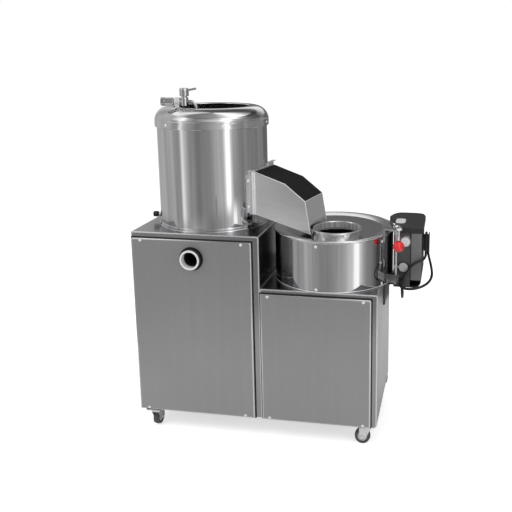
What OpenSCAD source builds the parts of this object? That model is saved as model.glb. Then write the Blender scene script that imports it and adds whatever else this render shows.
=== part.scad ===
// Potato peeling and slicing machine.
// A tall cabinet carries the peeling drum, a low cabinet beside it carries the slicer.
// Working frame: x from the tall cabinet's left side, y from the front covers backwards,
// z from the floor. place() then moves the origin to the middle of the machine's foot.

/* [Cabinets] */
// Height of the cabinets above the floor, filled by the casters
caster_height = 69; // [66:1:85]
// Width of the tall cabinet
left_width = 409; // [402:1:430]
// Height of the tall cabinet
left_height = 592; // [586:1:610]
// Width of the low cabinet
right_width = 363.6; // [356:0.2:372]
// Height of the low cabinet
right_height = 428; // [422:1:434]
// Depth of both cabinets, front covers included
cabinet_depth = 390; // [388:1:405]
// Thickness of the sheet metal
sheet = 2; // [1.5:0.1:2.5]
// Depth of the tray-shaped front covers
tray = 10; // [8:1:14]
// Diameter of the caster wheels
wheel_d = 50; // [40:1:50]
// Width of the caster wheels
wheel_w = 20; // [14:1:22]

/* [Peeling drum] */
// Outside diameter of the drum
drum_d = 350; // [336:1:354]
// Height of the drum's wall up to the hood
drum_height = 318; // [308:1:330]
// Thickness of the abrasive lining
lining = 8; // [6:0.5:10]
// Diameter of the hood's round mouth
mouth_d = 240; // [220:1:244]
// Height of the hood
hood_height = 61; // [58:1:70]
// Gap between the peeling disc and the lining
peel_gap = 4; // [3:0.5:8]
// Outside diameter of the drain pipe
drain_d = 63; // [50:1:63]
// Length of the drain pipe in front of the cover
drain_reach = 18; // [14:1:30]

/* [Chute and gate] */
// Width of the chute
chute_w = 143; // [130:1:146]
// Length of the chute from its flange
chute_reach = 184; // [174:1:185]
// Lower edge of the chute's flange above the tall cabinet
gate_low = 46; // [44:1:50]
// Upper edge of the chute's flange above the tall cabinet
gate_high = 183; // [176:1:190]
// Thickness of the sliding gate
gate_t = 2.5; // [2:0.1:3]

/* [Slicer] */
// Outside diameter of the slicer's casing
case_d = 380; // [372:1:382]
// Height of the slicer's casing
case_height = 153; // [146:1:156]
// Outside diameter of the feed ring
ring_d = 159; // [140:1:160]
// Height of the feed ring above the lid
ring_height = 28; // [20:1:30]
// Gap between the slicing disc and the casing
slice_gap = 8; // [4:0.5:14]
// Diameter of the ball on the latch lever
ball_d = 35; // [28:1:38]

/* [Drive] */
// Diameter of the peeler's pulley
peel_pulley_d = 280; // [240:1:300]
// Diameter of the slicer's pulley
slice_pulley_d = 220; // [180:1:240]
// Diameter of the motor's pulley
motor_pulley_d = 60; // [56:1:70]
// Diameter of the motor
motor_d = 160; // [140:1:165]
// Diameter of the peeler's shaft
peel_shaft_d = 30; // [25:1:34]
// Diameter of the slicer's shaft
slice_shaft_d = 25; // [20:1:30]

/* [Control box] */
// Width of the control box
box_w = 87; // [84:1:100]
// Depth of the control box
box_depth = 190; // [180:1:200]
// Height of the control box below its hood
box_height = 180; // [176:1:185]
// Diameter of the push buttons
button_d = 30; // [26:1:32]
// Travel of the push buttons
button_travel = 4; // [2:0.5:5]

/* [Hidden] */
$fn = 96;
e = 1;
run_gap = 0.05;
z0 = caster_height;
left_top = z0 + left_height;
right_top = z0 + right_height;
right_side = left_width + right_width;
back = cabinet_depth;
strip = 17;
post = 21;
cover_left = [3, left_width - post, z0, left_top - strip];
cover_right = [left_width + 3, right_side - 17.6, z0, right_top - 13];
cover_skin = 1.5;
inset = 20;
window_low = z0 + 30;
window_high = z0 + 371;

// Peeling drum
drum_x = left_width / 2 + 5.5;
drum_y = 195;
drum_r = drum_d / 2;
hood_z = left_top + drum_height;
hood_top = hood_z + hood_height;
hood_r = drum_r + 6;
hood_round = 45;
liner_r = drum_r - sheet;
liner_z0 = left_top + 26;
liner_z1 = hood_z - 14;
disc_z = left_top + 29;
disc_t = 12;
peel_disc_r = liner_r - lining - peel_gap;
pan_r = drum_r - 25;
pan_floor = left_top - 113;
drain_x = drum_x - 12;
drain_z = left_top - 76;
stub_r = drain_d / 2;
pipe_r = stub_r - 1.5;
pipe_wall = 3;
knob_y = -45;
knob_z = left_top + 24;
stud_r = 4;
peel_shaft_r = peel_shaft_d / 2;
housing_bore = peel_shaft_r + 11;
housing_r = housing_bore + 8.1;

// Chute: turned to the front, carried by a flange that is tangent to the drum
chute_turn = -10.4;
chute_shift = 8.5;
gate_z0 = left_top + gate_low;
gate_z1 = left_top + gate_high;
half = chute_w / 2;
frame_d = drum_r + 2;
slot = gate_t + 2;
flange_d = frame_d + slot;
gate_half = half - 7;
tab_arc = 5.5;
tab_t = 2;
// Where the frame's front (-1) and back (1) face meets the drum
function frame_edge(s) = chute_turn + s * asin((half + s * chute_shift) / drum_r);

// Slicer
case_r = case_d / 2;
slicer_x = left_width + 11 + case_r;
slicer_y = 198;
case_top = right_top + case_height;
lid_skin = 2.5;
rim_top = case_top + 7;
rim_r = case_r + 4;
ring_r = ring_d / 2;
ring_at = [23, -95];
ring_wall = 3;
ring_top = case_top + ring_height;
throat_low = case_top - 38;
slice_z = case_top - 54;
slice_t = 6;
slice_disc_r = case_r - sheet - slice_gap;
slice_shaft_r = slice_shaft_d / 2;
spout_w = 140;
spout_h = 94;
spout_y = 248;
cover_from = -172;
cover_to = -28;
cover_r = case_r + run_gap + cover_skin;
chute_low = rim_top + 3;

// Latch: a swinging rod on the casing and a cam lever with a ball
latch_turn = -23;
rod_d = case_r + 35;
rod_r = 4;
pin_r = 3;
ear_top = case_top + 27;
ear_t = 5;
rod_foot = right_top + 23;
cam_r = 7;
cam_z = ear_top + cam_r + 0.3;
lever_turn = 20;
ball_r = ball_d / 2;
ball_y = -28;
ball_z = cam_z - 54.3;
rod_x = slicer_x + rod_d * cos(latch_turn);
rod_y = slicer_y + rod_d * sin(latch_turn);

// Drive
belt_h = 13;
belt_t = 8;
groove_h = belt_h + 1;
groove_depth = 10;
pulley_h = 24;
slice_pulley_z = z0 + 279;
peel_pulley_z = slice_pulley_z + pulley_h + 4;
motor_x = left_width - 9;
motor_y = back - 100;
motor_z = z0 + 38;
motor_len = 220;
motor_shaft_r = 12;
bar_z = z0 + 386;
bar_t = 5;
bar_half = 30;
housing_wall = 8;
bearing_t = 11;
bearing_h = 18;
rim_w = 24;
hub_w = 22;
web_h = 12;
web_hole_r = 22;
tube_h = 30;

// Tap: its clamp stands on the hood's flat rim, local x runs from the hose end to the outlet
tap_x = drum_x - 66;
tap_y = drum_y - 119;
tap_z = hood_top + 20;
tap_turn = 15;
tap_r = 10;
clamp_r = 13;
inlet_r = 13.2;
inlet_from = -50;
inlet_len = 12;
valve_at = 21.5;
valve_r = 12;
neck_r = 8.5;
spout_r = 5;
spout_bend = 20;
foot_out = 16;

// Control box
box_x = slicer_x + case_r + 6;
box_y = 150;
box_z = right_top - 22;
box_top = box_z + box_height;
box_right = box_x + box_w;
box_wall = 2.5;
box_round = 22;
front_t = 10;
panel_split = box_x + 52;
hood_t = 13;
button_r = button_d / 2;
start_at = [box_x + 36, box_top - 27];
stop_at = [box_x + 31, box_top - 110];
button_out = 8;
stem_end = box_y + front_t + 12;
gland_at = [box_x + 26, box_z + 23];
holder_y = 235;
holder_z = box_z + 129;
holder_r = 28;
holder_w = 22;
shelf_low = box_z - 75;
shelf_y = [box_y + 40, box_y + 160];
clip_out = 12;
under_clip = [box_x + 18, box_y + 144, box_z - 39];
back_clip = [right_side - 12.6, back + clip_out, 300];

// Casters: swivel axis, direction in which the fork trails
trail = 14;
wheel_r = wheel_d / 2;
fork_gap = wheel_w / 2 + 1;
axle_r = 4;
king_r = 5;
plate_t = 3;
caster_in = 46;
casters = [
    [caster_in, 40 - trail, 90],
    [right_side - caster_in + trail, 36, 180],
    [caster_in, back - caster_in - trail, 90],
    [right_side - caster_in + trail, back - caster_in, 180]
];

// Mains lead: radius, places along it from the box's corner, then from the back corner, coil
cord_r = 4;
box_route = [
    [26, -14, 23], [26, -38, 23], [32, -58, 23], [50, -71, 24], [74, -72, 27],
    [98, -60, 33], [115, -36, 41], [121, 0, 51], [116, 45, 65], [108, 85, 80],
    [101, 109, 102], [98, 117, 129], [98, 108, 152], [98, 85, 161], [98, 62, 152],
    [98, 53, 129], [99, 38, 113], [99, 12, 105], [91, -8, 98], [70, -15, 90],
    [54, -16, 74], [41, -16, 55], [32, -16, 33], [29, -15, 9], [29, -9, -14],
    [29, 7, -31], [28, 30, -38], [24, 90, -39], [16, 155, -39], [6, 198, -41]
];
back_route = [
    [23.4, -5, box_z - 48], [3.4, 18, box_z - 67], [-8.6, 20, box_z - 97], [-12.6, 12, box_z - 135],
    [-12.6, 12, 200], [-12.6, 12, 80], [-12.6, 13, 44], [-12.6, 19, 24], [-12.6, 34, 9],
    [-12.6, 54, 4]
];
cord_path = concat(
    [for (p = box_route) p + [box_x, box_y, box_z]],
    [for (p = back_route) p + [right_side, back, 0]]);
coil_inner = 33;
coil_turns = 3;
coil_step = 8.2;
coil_outer = coil_inner + coil_turns * coil_step;
coil_at = [right_side - 12.6 - coil_outer, back + 82];
// the end leaves the innermost turn and lies over the others
lead_y = coil_at[1] + coil_inner;
lead_route = [[0, 12.2], [-24, 12.6], [-50, 13.4], [-72, 14.6], [-86, 15], [-98, 15]];
lead_path = [for (p = lead_route) [coil_at[0] + p[0], lead_y, p[1]]];
plug_x = coil_at[0] - 104;
plug_z = 15;

mid_x = (box_right + holder_w) / 2;
mid_y = (slicer_y + spout_y - drain_reach) / 2;

// ---------- helpers ----------

module place() {
    translate([-mid_x, -mid_y, 0]) children();
}

module block(x0, x1, y0, y1, za, zb) {
    translate([x0, y0, za]) cube([x1 - x0, y1 - y0, zb - za]);
}

module rod(r, za, zb) {
    translate([0, 0, za]) cylinder(h = zb - za, r = r);
}

module ring(r_out, r_in, za, zb) {
    difference() {
        rod(r_out, za, zb);
        rod(r_in, za - e, zb + e);
    }
}

module at_drum() {
    translate([drum_x, drum_y, 0]) children();
}

module at_slicer() {
    translate([slicer_x, slicer_y, 0]) children();
}

// Local x points out along the chute, y across it
module at_chute() {
    at_drum() rotate([0, 0, chute_turn]) translate([0, chute_shift, 0]) children();
}

// Local x points outwards through the latch
module at_latch() {
    at_slicer() rotate([0, 0, latch_turn]) children();
}

// Local -y is the side on which the lever hangs
module at_lever() {
    translate([rod_x, rod_y, 0]) rotate([0, 0, lever_turn]) children();
}

// Cylinder along x, or along y
module x_rod(r, x0, x1) {
    translate([x0, 0, 0]) rotate([0, 90, 0]) cylinder(h = x1 - x0, r = r);
}

module y_rod(r, y0, y1) {
    translate([0, y1, 0]) rotate([90, 0, 0]) cylinder(h = y1 - y0, r = r);
}

// Extrudes an outline drawn in x and z from y0 to y1
module y_extrude(y0, y1) {
    translate([0, y1, 0]) rotate([90, 0, 0]) linear_extrude(y1 - y0) children();
}

// ---------- cabinets ----------

// Open-bottomed box of sheet metal with windows in front, behind and towards its neighbour
module cabinet(x0, x1, top, side) {
    y0 = tray;
    difference() {
        block(x0, x1, y0, back, z0, top);
        block(x0 + sheet, x1 - sheet, y0 + sheet, back - sheet, z0 - e, top - sheet);
        block(x0 + inset, x1 - inset - 15, y0 - e, back + e, z0 + inset, top - 34);
        block(side - 3, side + 3, 40, back - 15, window_low, window_high);
    }
}

module left_cabinet() {
    color("lightsteelblue") place() difference() {
        cabinet(0, left_width, left_top, left_width - sheet / 2);
        at_drum() rod(pan_r - sheet, left_top - 10, left_top + e);
    }
}

module right_cabinet() {
    color("lightsteelblue") place() difference() {
        cabinet(left_width, right_side, right_top, left_width + sheet / 2);
        at_slicer() rod(slice_shaft_r + 1, right_top - 10, right_top + e);
    }
}

// Shallow tray: face plate and flanges turned back to the cabinet's front
module tray_cover(c) {
    difference() {
        block(c[0], c[1], 0, tray, c[2], c[3]);
        block(c[0] + cover_skin, c[1] - cover_skin, cover_skin, tray + e,
            c[2] + cover_skin, c[3] - cover_skin);
    }
}

module left_front_cover() {
    color("darkgray") place() difference() {
        tray_cover(cover_left);
        translate([drain_x, 0, drain_z]) y_rod(stub_r + 2.5, -e, tray);
    }
}

module right_front_cover() {
    color("darkgray") place() tray_cover(cover_right);
}

module rear_covers() {
    color("darkgray") place() {
        block(cover_left[0] + 8, cover_left[1], back, back + sheet, z0 + 6, cover_left[3] - 8);
        block(cover_right[0] + 8, cover_right[1], back, back + sheet, z0 + 6, cover_right[3] - 8);
    }
}

module pan_head() {
    rod(4.5, 0, 1.2);
    rod(3.2, 1.2, 2.4);
}

module cover_heads(c, in) {
    for (x = [c[0] + in, c[1] - in], z = [c[2] + 8, c[3] - 7])
        translate([x, 0, z]) rotate([90, 0, 0]) pan_head();
}

module cover_screws() {
    color("silver") place() {
        cover_heads(cover_left, 31);
        cover_heads(cover_right, 24);
        at_drum() for (a = [0:60:300])
            rotate([0, 0, a]) translate([hood_r, 0, hood_z + 11]) rotate([0, 90, 0]) pan_head();
        at_slicer() for (a = [cover_from + 3, (cover_from + cover_to) / 2 + 3, cover_to - 3],
            z = [right_top + 9, case_top - 10])
            rotate([0, 0, a]) translate([cover_r, 0, z]) rotate([0, 90, 0]) pan_head();
        at_drum() for (z = [gate_z0 + 26, gate_z1 - 28])
            rotate([0, 0, frame_edge(-1) - tab_arc / 2]) translate([drum_r + tab_t, 0, z])
                rotate([0, 90, 0]) pan_head();
    }
}

// One rectangle of square tube with feet plates in its corners
module frame_loop(x0, x1, bar_x) {
    w = tube_h;
    difference() {
        block(x0, x1, tray + sheet, back - sheet, z0, z0 + w);
        block(x0 + w, x1 - w, tray + sheet + w, back - sheet - w, z0 - e, z0 + w + e);
    }
    block(bar_x, bar_x + w, tray + sheet + w, back - sheet - w, z0, z0 + w);
}

module base_frame() {
    color("dimgray") place() {
        frame_loop(sheet, left_width - sheet, motor_x - 100);
        frame_loop(left_width + sheet, right_side - sheet, motor_x + 70);
        for (c = casters)
            block(max(sheet + 30, min(c[0] - 28, right_side - 90)),
                max(90, min(c[0] + 28, right_side - sheet - 30)),
                max(tray + sheet + 30, c[1] - 26), min(c[1] + 26, back - sheet - 30), z0, z0 + 4);
        block(motor_x - 100, motor_x + 100, motor_y - 90, motor_y + 55, z0 + tube_h, motor_z);
    }
}

// ---------- casters ----------

module at_caster(i) {
    translate([casters[i][0], casters[i][1], 0]) rotate([0, 0, casters[i][2]]) children();
}

module caster_plates() {
    color("silver") place() for (i = [0:3]) at_caster(i) {
        difference() {
            union() {
                block(-27, 27, -24, 24, z0 - plate_t, z0);
                rod(17, z0 - plate_t - 8, z0 - plate_t);
            }
            rod(king_r + run_gap, z0 - plate_t - 9, z0 - 2);
        }
    }
}

// Swivelling fork with its kingpin above and its axle across the wheel
module caster_fork(i) {
    top = z0 - plate_t - 8.5;
    under = wheel_d + 1.5;
    color("silver") place() at_caster(i) {
        rod(king_r, top - e, z0 - 2.5);
        rod(16, top - 2, top);
        block(-12, 24, -fork_gap - 2.5, fork_gap + 2.5, under, top - 2);
        for (s = [-1, 1])
            translate([0, s * (fork_gap + 1.25), 0]) y_extrude(-1.25, 1.25)
                polygon([[-12, under], [24, under], [trail + 8, wheel_r - 6], [trail - 8, wheel_r - 6]]);
        translate([trail, 0, wheel_r]) y_rod(axle_r, -fork_gap - 5, fork_gap + 5);
    }
}

module caster_wheel(i) {
    color("dimgray") place() at_caster(i) translate([trail, 0, wheel_r]) difference() {
        union() {
            y_rod(wheel_r, -wheel_w / 2, wheel_w / 2);
            y_rod(9, -wheel_w / 2 - 0.6, wheel_w / 2 + 0.6);
        }
        y_rod(axle_r + run_gap, -wheel_w, wheel_w);
        for (s = [-1, 1])
            translate([0, s * wheel_w / 2, 0]) difference() {
                y_rod(wheel_r - 7, -2, 2);
                y_rod(9, -3, 3);
            }
    }
}

// ---------- peeling drum ----------

// Foot of the drum, with the boss in which the clamp knob turns
module drum_base_ring() {
    color("silver") place() at_drum() {
        ring(drum_r + 5, drum_r, left_top, left_top + 6);
        ring(drum_r + 2.5, drum_r, left_top + 6, left_top + 14);
        difference() {
            translate([0, knob_y, knob_z]) x_rod(7, -drum_r - 1.6, -drum_r + 14);
            rod(drum_r, left_top, hood_z);
            translate([0, knob_y, knob_z]) x_rod(stud_r + run_gap, -drum_r - 3, -drum_r + 15);
        }
    }
}

// Keeps what is inside the outlet's opening, cut through the drum's wall
module outlet_hole(margin) {
    at_chute() block(drum_r - 60, drum_r + 20, -gate_half + 6 + margin, gate_half - 6 - margin,
        gate_z0 + 12 + margin, gate_z1 - 9 - margin);
}

module drum_shell() {
    color("gainsboro") place() difference() {
        at_drum() ring(drum_r, drum_r - sheet, left_top, hood_z + 6);
        outlet_hole(0);
    }
}

module drum_liner() {
    color("dimgray") place() difference() {
        at_drum() ring(liner_r, liner_r - lining, liner_z0, liner_z1);
        outlet_hole(0);
    }
}

module drum_hood() {
    skin = 2.5;
    round_in = hood_round - skin;
    c = [hood_r - hood_round, hood_top - hood_round];
    color("gainsboro") place() at_drum() {
        rotate_extrude() difference() {
            union() {
                translate([drum_r + 0.2, hood_z]) square([hood_r - drum_r - 0.2, c[1] - hood_z]);
                intersection() {
                    translate(c) circle(r = hood_round);
                    translate(c) square(hood_round + e);
                }
                translate([mouth_d / 2, c[1]]) square([c[0] - mouth_d / 2, hood_round]);
            }
            intersection() {
                translate(c) circle(r = round_in);
                translate(c) square(hood_round + e);
            }
            translate([mouth_d / 2 + skin, hood_z + 8]) square([c[0] - mouth_d / 2 - skin + 0.1,
                hood_top - skin - hood_z - 8]);
            translate([drum_r, hood_z + 8]) square([hood_r - skin - drum_r, c[1] - hood_z - 8]);
            translate([mouth_d / 2 - e, c[1] - e]) square([skin + 2 * e, hood_round - 14]);
        }
        ring(hood_r - skin, drum_r - sheet, hood_z + 6, hood_z + 8);
    }
}

module liner_bolts() {
    color("black") place() at_drum() for (a = [60, 120, 180], z = [liner_z0 + 26, left_top + 150, liner_z1 - 6])
        rotate([0, 0, a]) translate([0, 0, z]) {
            x_rod(5, drum_r, drum_r + 2);
            x_rod(4, drum_r + 2, drum_r + 6);
        }
}

// Hand knob with its stud
module clamp_knob() {
    color("black") place() at_drum() translate([0, knob_y, knob_z]) {
        x_rod(9.5, -drum_r - 22, -drum_r - 2);
        x_rod(stud_r, -drum_r - 2, -drum_r + 3.5);
    }
}

module drain_pan() {
    color("silver") place() difference() {
        at_drum() {
            ring(pan_r, pan_r - sheet, pan_floor, left_top - sheet);
            ring(pan_r + 12, pan_r, left_top - 2 * sheet, left_top - sheet);
            ring(pan_r - sheet, housing_r, pan_floor, pan_floor + sheet);
        }
        translate([drain_x, drum_y, drain_z]) y_rod(pipe_r, -drum_r, 0);
    }
}

module drain_pipe() {
    color("whitesmoke") place() difference() {
        translate([drain_x, 0, drain_z]) difference() {
            union() {
                y_rod(stub_r, -drain_reach, 0);
                y_rod(pipe_r, 0, drum_y);
            }
            y_rod(pipe_r - pipe_wall, -drain_reach - e, drum_y + e);
        }
        at_drum() rod(pan_r - sheet, pan_floor - 20, left_top);
    }
}

// Abrasive disc with three raised waves, on a hub
module peeling_disc() {
    r = peel_disc_r;
    color("darkslategray") place() at_drum() difference() {
        union() {
            rod(r, disc_z, disc_z + disc_t);
            rod(28, disc_z - 22, disc_z);
            for (a = [0:120:240])
                rotate([0, 0, a]) translate([0, 0, disc_z + disc_t - 14])
                    x_wave(30, r - 10);
        }
        rod(peel_shaft_r, disc_z - 30, disc_z + 20);
    }
}

// Low rounded ridge along x
module x_wave(x0, x1) {
    intersection() {
        x_rod(22, x0, x1);
        block(x0 - e, x1 + e, -30, 30, 13, 30);
    }
}

module disc_cap_nut() {
    color("silver") place() at_drum() intersection() {
        translate([0, 0, disc_z + disc_t]) sphere(r = 24);
        rod(30, disc_z + disc_t, disc_z + 40);
    }
}

module peeler_shaft() {
    color("silver") place() at_drum() rod(peel_shaft_r, peel_pulley_z - 4, disc_z + disc_t);
}

// Pulley with flat-bottomed grooves at the given heights above its foot
module pulley(r, bore, h, grooves) {
    difference() {
        rod(r, 0, h);
        rod(bore, -e, h + e);
        for (z = grooves) ring(r + e, r - groove_depth, z, z + groove_h);
    }
}

// Rim, web and hub of a large pulley
module web_pulley(r, bore) {
    difference() {
        pulley(r, bore, pulley_h, [(pulley_h - groove_h) / 2]);
        for (z = [-e, (pulley_h + web_h) / 2])
            ring(r - rim_w, bore + hub_w, z, z + (pulley_h - web_h) / 2 + e);
        for (a = [0:60:300])
            rotate([0, 0, a]) translate([(r + bore) / 2, 0, 0]) rod(web_hole_r, -e, pulley_h + e);
    }
}

module peeler_pulley() {
    color("gray") place() at_drum() translate([0, 0, peel_pulley_z])
        web_pulley(peel_pulley_d / 2, peel_shaft_r);
}

// ---------- drive ----------

module housing(shaft_r, za, zb, x0, x1) {
    bore = shaft_r + bearing_t;
    ring(bore + housing_wall, bore, za, zb);
    difference() {
        block(x0, x1, -bar_half, bar_half, bar_z, bar_z + bar_t);
        rod(bore + housing_wall, bar_z - e, bar_z + bar_t + e);
    }
}

module bearing_housings() {
    color("gray") place() {
        at_drum() housing(peel_shaft_r, bar_z - 14, left_top - 22,
            sheet - drum_x, left_width - sheet - drum_x);
        at_slicer() housing(slice_shaft_r, bar_z - 14, right_top - sheet,
            left_width + sheet - slicer_x, right_side - sheet - slicer_x);
    }
}

module bearing_pair(shaft_r, bore, za, zb) {
    for (z = [za, zb - bearing_h]) ring(bore, shaft_r + run_gap, z, z + bearing_h);
}

module shaft_bearings() {
    color("silver") place() {
        at_drum() bearing_pair(peel_shaft_r, housing_bore, bar_z - 12, left_top - 24);
        at_slicer() bearing_pair(slice_shaft_r, slice_shaft_r + bearing_t, bar_z - 12, right_top - 4);
    }
}

// Outline of a belt around two pulleys
module belt_outline(a, b, ra, rb) {
    d = norm(b - a);
    t = atan2(b[1] - a[1], b[0] - a[0]);
    p = acos((ra - rb) / d);
    translate(a) circle(r = ra);
    translate(b) circle(r = rb);
    polygon([
        a + ra * [cos(t + p), sin(t + p)], b + rb * [cos(t + p), sin(t + p)],
        b + rb * [cos(t - p), sin(t - p)], a + ra * [cos(t - p), sin(t - p)]
    ]);
}

module belt(a, ra, za) {
    b = [motor_x, motor_y];
    in = -groove_depth + 0.5;
    rb = motor_pulley_d / 2;
    translate([0, 0, za + (pulley_h - belt_h) / 2]) linear_extrude(belt_h) difference() {
        belt_outline(a, b, ra + in + belt_t, rb + in + belt_t);
        belt_outline(a, b, ra + in, rb + in);
    }
}

module drive_belts() {
    color("black") place() {
        belt([drum_x, drum_y], peel_pulley_d / 2, peel_pulley_z);
        belt([slicer_x, slicer_y], slice_pulley_d / 2, slice_pulley_z);
    }
}

module drive_motor() {
    r = motor_d / 2;
    color("steelblue") place() translate([motor_x, motor_y, 0]) difference() {
        union() {
            rod(r - 14, motor_z, motor_z + motor_len);
            for (z = [motor_z, motor_z + 60, motor_z + motor_len - 60, motor_z + motor_len - 16])
                rod(r, z, z + 16);
            for (a = [0:30:330])
                rotate([0, 0, a]) block(r - 20, r - 2, -2, 2, motor_z + 10, motor_z + motor_len - 10);
        }
        rod(motor_shaft_r + run_gap, motor_z + motor_len - 30, motor_z + motor_len + e);
    }
}

// Double pulley on the motor's own shaft
module motor_pulley() {
    rise = peel_pulley_z - slice_pulley_z;
    groove = (pulley_h - groove_h) / 2;
    color("silver") place() translate([motor_x, motor_y, 0]) {
        translate([0, 0, slice_pulley_z])
            pulley(motor_pulley_d / 2, motor_shaft_r, rise + pulley_h, [groove, rise + groove]);
        rod(motor_shaft_r, motor_z + motor_len - 29, slice_pulley_z + rise + pulley_h);
    }
}

// ---------- outlet, gate and chute ----------

// Box welded on the drum, with the gate's guides and a top slab
module outlet_frame() {
    color("silver") place() difference() {
        at_chute() {
            difference() {
                block(drum_r - 30, frame_d, -half, half, gate_z0, gate_z1);
                block(drum_r - 31, frame_d + e, -gate_half + 6, gate_half - 6,
                    gate_z0 + 12, gate_z1 - 9);
            }
            for (s = [-1, 1])
                block(frame_d, flange_d, s > 0 ? gate_half + 1 : -half,
                    s > 0 ? half : -gate_half - 1, gate_z0, gate_z1);
            block(frame_d, flange_d, -gate_half - 1, gate_half + 1, gate_z0, gate_z0 + 5);
            block(drum_r - 40, frame_d, -half - 1, half + 1, gate_z1, gate_z1 + 3);
        }
        // strips that follow the drum's wall beside the frame
        at_drum() for (s = [-1, 1])
            rotate([0, 0, frame_edge(s) - (s < 0 ? tab_arc : 1)]) translate([0, 0, gate_z0 + 8])
                rotate_extrude(angle = tab_arc + 1) translate([drum_r, 0])
                    square([tab_t, gate_z1 - gate_z0 - 16]);
        at_drum() rod(drum_r, left_top, hood_z);
    }
}

module discharge_gate() {
    x0 = frame_d + (slot - gate_t) / 2;
    color("silver") place() at_chute() {
        block(x0, x0 + gate_t, -gate_half, gate_half, gate_z0 + 5.4, gate_z1 + 4);
        block(x0, x0 + gate_t, gate_half - 40, gate_half, gate_z1 + 4, gate_z1 + 14);
        block(x0, x0 + gate_t, gate_half - 40, gate_half, gate_z1 + 14, gate_z1 + 16);
        block(x0, x0 + 11, gate_half - 40, gate_half, gate_z1 + 16, gate_z1 + 18);
    }
}

// Side outline of the chute: along its length and up
function chute_side(in) = [
    [0, gate_z0 + in], [0, gate_z1 - in], [100 - in / 3, gate_z1 - 32 - in],
    [chute_reach - 17 - in, rim_top + 105 - in], [chute_reach - in, chute_low + in]
];

module chute_body(in, y) {
    translate([flange_d, 0, 0]) y_extrude(-y, y) polygon(chute_side(in));
}

module discharge_chute() {
    floor_end = chute_reach - 70;
    color("gray") place() at_chute() {
        difference() {
            chute_body(0, half);
            chute_body(sheet, half - sheet);
            // inlet at the flange
            block(flange_d - e, flange_d + sheet + 1, -gate_half + 6, gate_half - 6,
                gate_z0 + 12, gate_z1 - 9);
            // open underside behind the floor, and gap under the end plate
            block(flange_d + floor_end, flange_d + chute_reach + 5, -half + sheet, half - sheet,
                chute_low - e, rim_top + 30);
        }
    }
}

// ---------- water tap ----------

module at_tap() {
    translate([tap_x, tap_y, tap_z]) rotate([0, 0, tap_turn]) children();
}

module tap_body() {
    color("silver") place() at_tap() {
        difference() {
            union() {
                x_rod(inlet_r, inlet_from, inlet_from + inlet_len);
                x_rod(tap_r, inlet_from + inlet_len, valve_at);
                translate([valve_at, 0, 0]) rod(valve_r, -14, 13);
                translate([valve_at, 0, 0]) rod(neck_r, 13, 16);
            }
            x_rod(7, inlet_from - e, valve_at - 4);
        }
        // outlet curving down into the drum's mouth
        x_rod(spout_r, valve_at + 8, valve_at + 15);
        translate([valve_at + 15, 0, -spout_bend]) rotate([90, 0, 0]) rotate_extrude(angle = 90)
            translate([spout_bend, 0]) circle(r = spout_r);
    }
}

module tap_lever() {
    color("silver") place() at_tap() translate([valve_at, 0, 0]) {
        rod(14, 16.4, 41);
        translate([0, 0, 33]) rotate([0, -10, 0]) block(8, 38, -3.5, 3.5, -4, 3);
    }
}

// Split clamp around the tap on two splayed feet
module tap_bracket() {
    color("silver") place() at_tap() difference() {
        union() {
            x_rod(clamp_r, -8, 7);
            block(-6, 6, -11, 11, hood_top - tap_z, -4);
            block(-8, 8, -foot_out, foot_out, hood_top - tap_z, hood_top - tap_z + 2.5);
        }
        x_rod(tap_r, -9, 8);
    }
}

// ---------- slicer ----------

module slicer_casing() {
    color("gainsboro") place() at_slicer() difference() {
        union() {
            rod(case_r, right_top, case_top);
            rod(case_r + 3, right_top, right_top + 4);
            block(-spout_w / 2, spout_w / 2, 0, spout_y, right_top, right_top + spout_h);
        }
        rod(case_r - sheet, right_top + sheet, case_top + e);
        block(-spout_w / 2 + sheet, spout_w / 2 - sheet, 0, spout_y + e,
            right_top + sheet, right_top + spout_h - sheet);
        rod(slice_shaft_r + 1, right_top - e, right_top + 5);
    }
}

module casing_cover() {
    color("lightgray") place() at_slicer() rotate([0, 0, cover_from])
        translate([0, 0, right_top + 4.5]) rotate_extrude(angle = cover_to - cover_from)
            translate([case_r + run_gap, 0]) square([cover_skin, case_height - 4.8]);
}

// Dished lid with a raised rim, a feed ring and a latch ear
module slicer_lid() {
    color("lightgray") place() at_slicer() {
        difference() {
            union() {
                rod(case_r, case_top, case_top + lid_skin);
                ring(rim_r, case_r - 1, case_top, rim_top);
                rotate([0, 0, latch_turn]) {
                    block(case_r - 5, case_r + 3, -12, 12, case_top + lid_skin, ear_top);
                    block(case_r - 5, case_r + 42, -12, 12, ear_top - ear_t, ear_top);
                }
            }
            translate(ring_at) rod(ring_r, case_top - e, case_top + 10);
            rotate([0, 0, latch_turn]) block(rod_d - 5.5, rod_d + 20, -5.5, 5.5,
                ear_top - 10, ear_top + e);
        }
        translate(ring_at) {
            ring(ring_r, ring_r - ring_wall, throat_low, ring_top);
            ring(ring_r + 1, ring_r, ring_top - 4, ring_top);
        }
    }
}

module slicing_disc() {
    r = slice_disc_r;
    color("silver") place() at_slicer() difference() {
        union() {
            rod(r, slice_z, slice_z + slice_t);
            rod(30, slice_z - 40, slice_z);
            for (a = [45, 225])
                rotate([0, 0, a]) block(20, r - 12, -2, 2, slice_z - 64, slice_z);
        }
        rod(slice_shaft_r, slice_z - 70, slice_z + 20);
        for (a = [0, 180])
            rotate([0, 0, a]) block(42, r - 14, 0, 14, slice_z - e, slice_z + slice_t + e);
    }
}

module slicer_blades() {
    color("whitesmoke") place() at_slicer() for (a = [0, 180])
        rotate([0, 0, a]) translate([0, 0, slice_z + slice_t])
            block(40, slice_disc_r - 12, 10, 40, 0, 2.5);
}

module slicer_shaft() {
    color("silver") place() at_slicer() {
        rod(slice_shaft_r, slice_pulley_z - 4, slice_z + slice_t);
        rod(slice_shaft_r + 8, slice_z + slice_t, slice_z + slice_t + 6);
    }
}

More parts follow.
